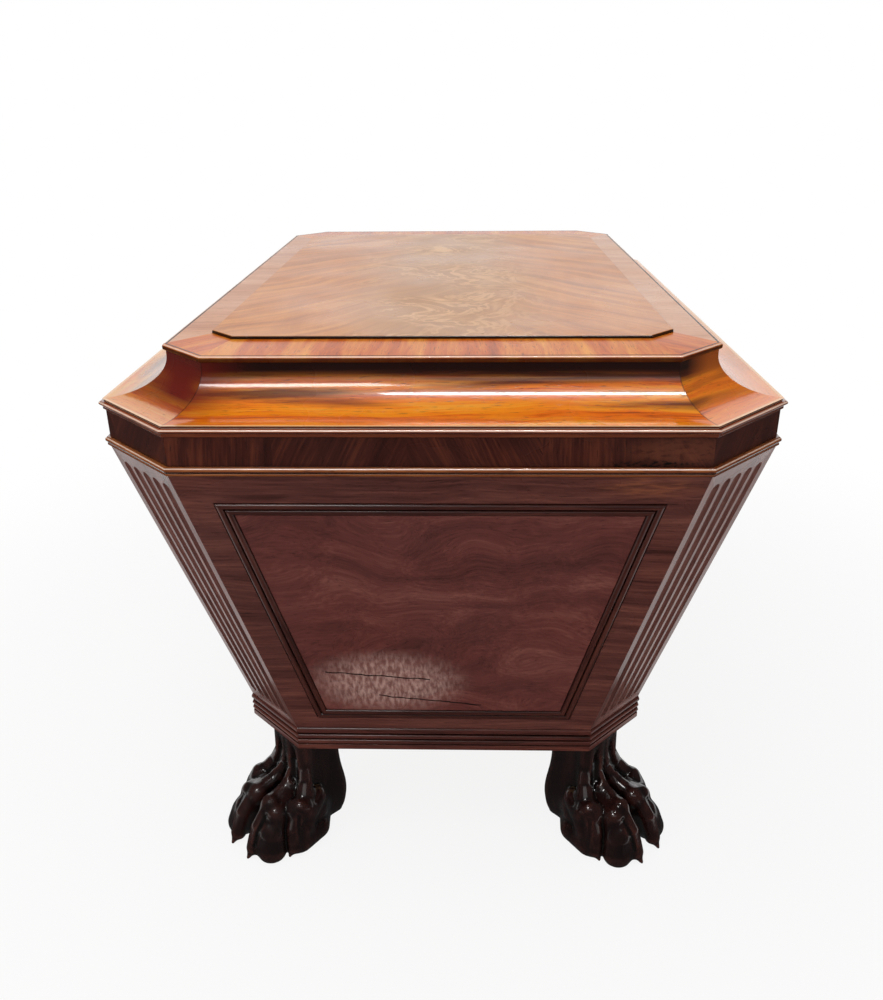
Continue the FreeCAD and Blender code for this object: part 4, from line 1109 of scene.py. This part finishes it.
# The side lengths are given paler shades than the ends.
pale_side_band = polished("pale_side_crossband",
                      [(196, 124, 82), (222, 158, 116), (238, 184, 146)],
                      figure=(0.2, 0.020), fibre=0.2, coat=0.2, body=1.3, tone=0.2, change=nose_highlight_and_shade)
plate_bottom = cavetto_bottom + frame_top
plate_overhang, plate_thickness, nose = 2.2 * mm, 5 * mm, 2.25 * mm
plate_inset = neck_depth - plate_overhang
border_end, border_side = 52 * mm, 30 * mm
outer = lip_plan(plate_inset, plate_bottom)
inner = eight(length / 2 - plate_inset - border_end, width / 2 - plate_inset - border_side,
              lip_cant - cant_shrink * (plate_inset + border_side), plate_bottom)
for ending, starts in LENGTHS.items():
    band_wood = pale_side_band if ending == "_sides" else near_band
    parts = []
    for i in starts:
        along = (outer[(i + 1) % 8] - outer[i]).normalized()
        deep = (inner[i] - outer[i]).dot(UPWARD.cross(along))
        profile = ([(deep, 0), (deep, plate_thickness)]
                   + arc((nose, plate_thickness - nose), nose, 90, 180) + arc((nose, nose), nose, 180, 270))
        parts.append(run_length(outer, inner, i, profile, band_wood, stations=24))
    band = joined("crossband" + ending, parts, band_wood)
    for item in band.attributes["grain"].data:
        item.vector = Vector(item.vector).yxz
    settle("crossband" + ending, band, "lid", "crossbanding", "lid_crossband" + ending)

# The solid nose meets the veneer in a line of dark glue.
glue_dark = polished("glue_dark", [(18, 8, 6), (44, 20, 14)], coat=0.0, places=(0.0, 1.0))
glue_depth, glue_width, glue_stand = plate_inset + nose + 0.1 * mm, 1.3 * mm, 0.04 * mm
glue_profile = [(0, 0), (glue_width, 0), (glue_width, glue_stand), (0, glue_stand)]
plate_top = plate_bottom + plate_thickness
outer, inner = lip_plan(glue_depth, plate_top), lip_plan(glue_depth + glue_width, plate_top)
parts = [run_length(outer, inner, i, glue_profile, glue_dark) for i in range(8)]
settle("glue_line", joined("glue_line", parts, glue_dark), "lid", "crossbanding")


def flame_figure():
    """Crotch figure for the panel's own frame: plumes that arch over the middle line and sweep
    down to both sides, broken into feathery, paler curls along the middle."""
    group, given = new_group("flame_figure", "ShaderNodeTree", {"Vector": "Vector"},
                             dict.fromkeys(("Plumes", "Feather", "Middle"), "Float"))
    bent = swayed(group, given["Vector"], 5.0, 3.0, 0.07)
    along, across, _ = split(group, bent)
    aside = calc(group, "ABSOLUTE", across)
    rank = calc(group, "ADD", along, times(group, calc(group, "POWER", aside, 0.75), 0.8))
    # Along a plume the figure is long, across it is short.
    drawn = combined(group, times(group, rank, 52.0), times(group, across, 4.0))
    plumes = mapped(group, noise(group, drawn, 1.0, 5.0, Roughness=0.62), 0.3, 0.7)
    curls = noise(group, bent, 13.0, 4.0, Roughness=0.55, Distortion=2.4)
    vein = calc(group, "ABSOLUTE", calc(group, "SUBTRACT", curls, 0.5))
    vein = mapped(group, vein, 0.055, 0.0, end=0.8, smooth=True)
    blotch = mapped(group, curls, 0.56, 0.7)
    cluster = mapped(group, noise(group, given["Vector"], 8.0, 1.0), 0.38, 0.52)
    feather = times(group, calc(group, "MAXIMUM", vein, blotch), cluster)
    middle = mapped(group, aside, 0.12, 0.02, smooth=True)
    node(group, "NodeGroupOutput", {"Plumes": plumes, "Feather": feather, "Middle": middle})
    return group


panel_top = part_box("lid_flame_panel")[1].z
edge_top, edge_low = panel_top - 0.2 * mm, panel_top - 0.4 * mm


def flamed(tree, plain):
    """Plumes over the plain grain, greyer and feathered along the middle, and the raised sides painted
    near-black, as dirt and painted shade.
    """
    figure = node(tree, "ShaderNodeGroup", {"Vector": coordinates(tree)}, node_tree=flame_figure()).outputs
    plumes = ramped(tree, figure["Plumes"], [(168, 92, 40), (222, 140, 70), (246, 174, 90)],
                    (0.0, 0.55, 1.0))
    colour = mixed(tree, 0.65, plain, plumes)
    colour = tinted(tree, colour, figure["Middle"], (184, 130, 74), 0.7)
    colour = tinted(tree, colour, times(tree, figure["Feather"], figure["Middle"]), (250, 194, 132), 0.7)
    # The panel's sides below its top are painted near-black, as dirt and painted shade.
    height = split(tree, coordinates(tree))["Z"]
    return tinted(tree, colour, mapped(tree, height, edge_top, edge_low), (24, 14, 12))


def painted(name, material):
    """Gives a node's own solids their finish."""
    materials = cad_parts[name].data.materials
    materials.clear()
    materials.append(material)


painted("lid_flame_panel",
        polished("flame_mahogany", [(182, 104, 46), (216, 136, 68), (232, 158, 84)],
                 vector=coordinates, figure=(0.3, 0.02), warp=0.1, fibre=0.2, gloss=0.32, coat=0.2,
                 change=flamed))
dress("lid_ground_board", "lid", "secondary_wood", pine)

# ---- Hinges and lock ---------------------------------------------------------------------------
# Two brass butt hinges with brass screws, and a brass box lock whose steel bolt hooks into the
# staples of the link plate in the lid.

brass = metal("old_brass", (196, 158, 92), (128, 96, 52))
steel = metal("dull_steel", (150, 148, 144), (96, 90, 84))
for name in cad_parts:
    if name.startswith(("hinge", "lock", "link")):
        painted(name, steel if name in ("lock_bolt", "lock_spring") else brass)
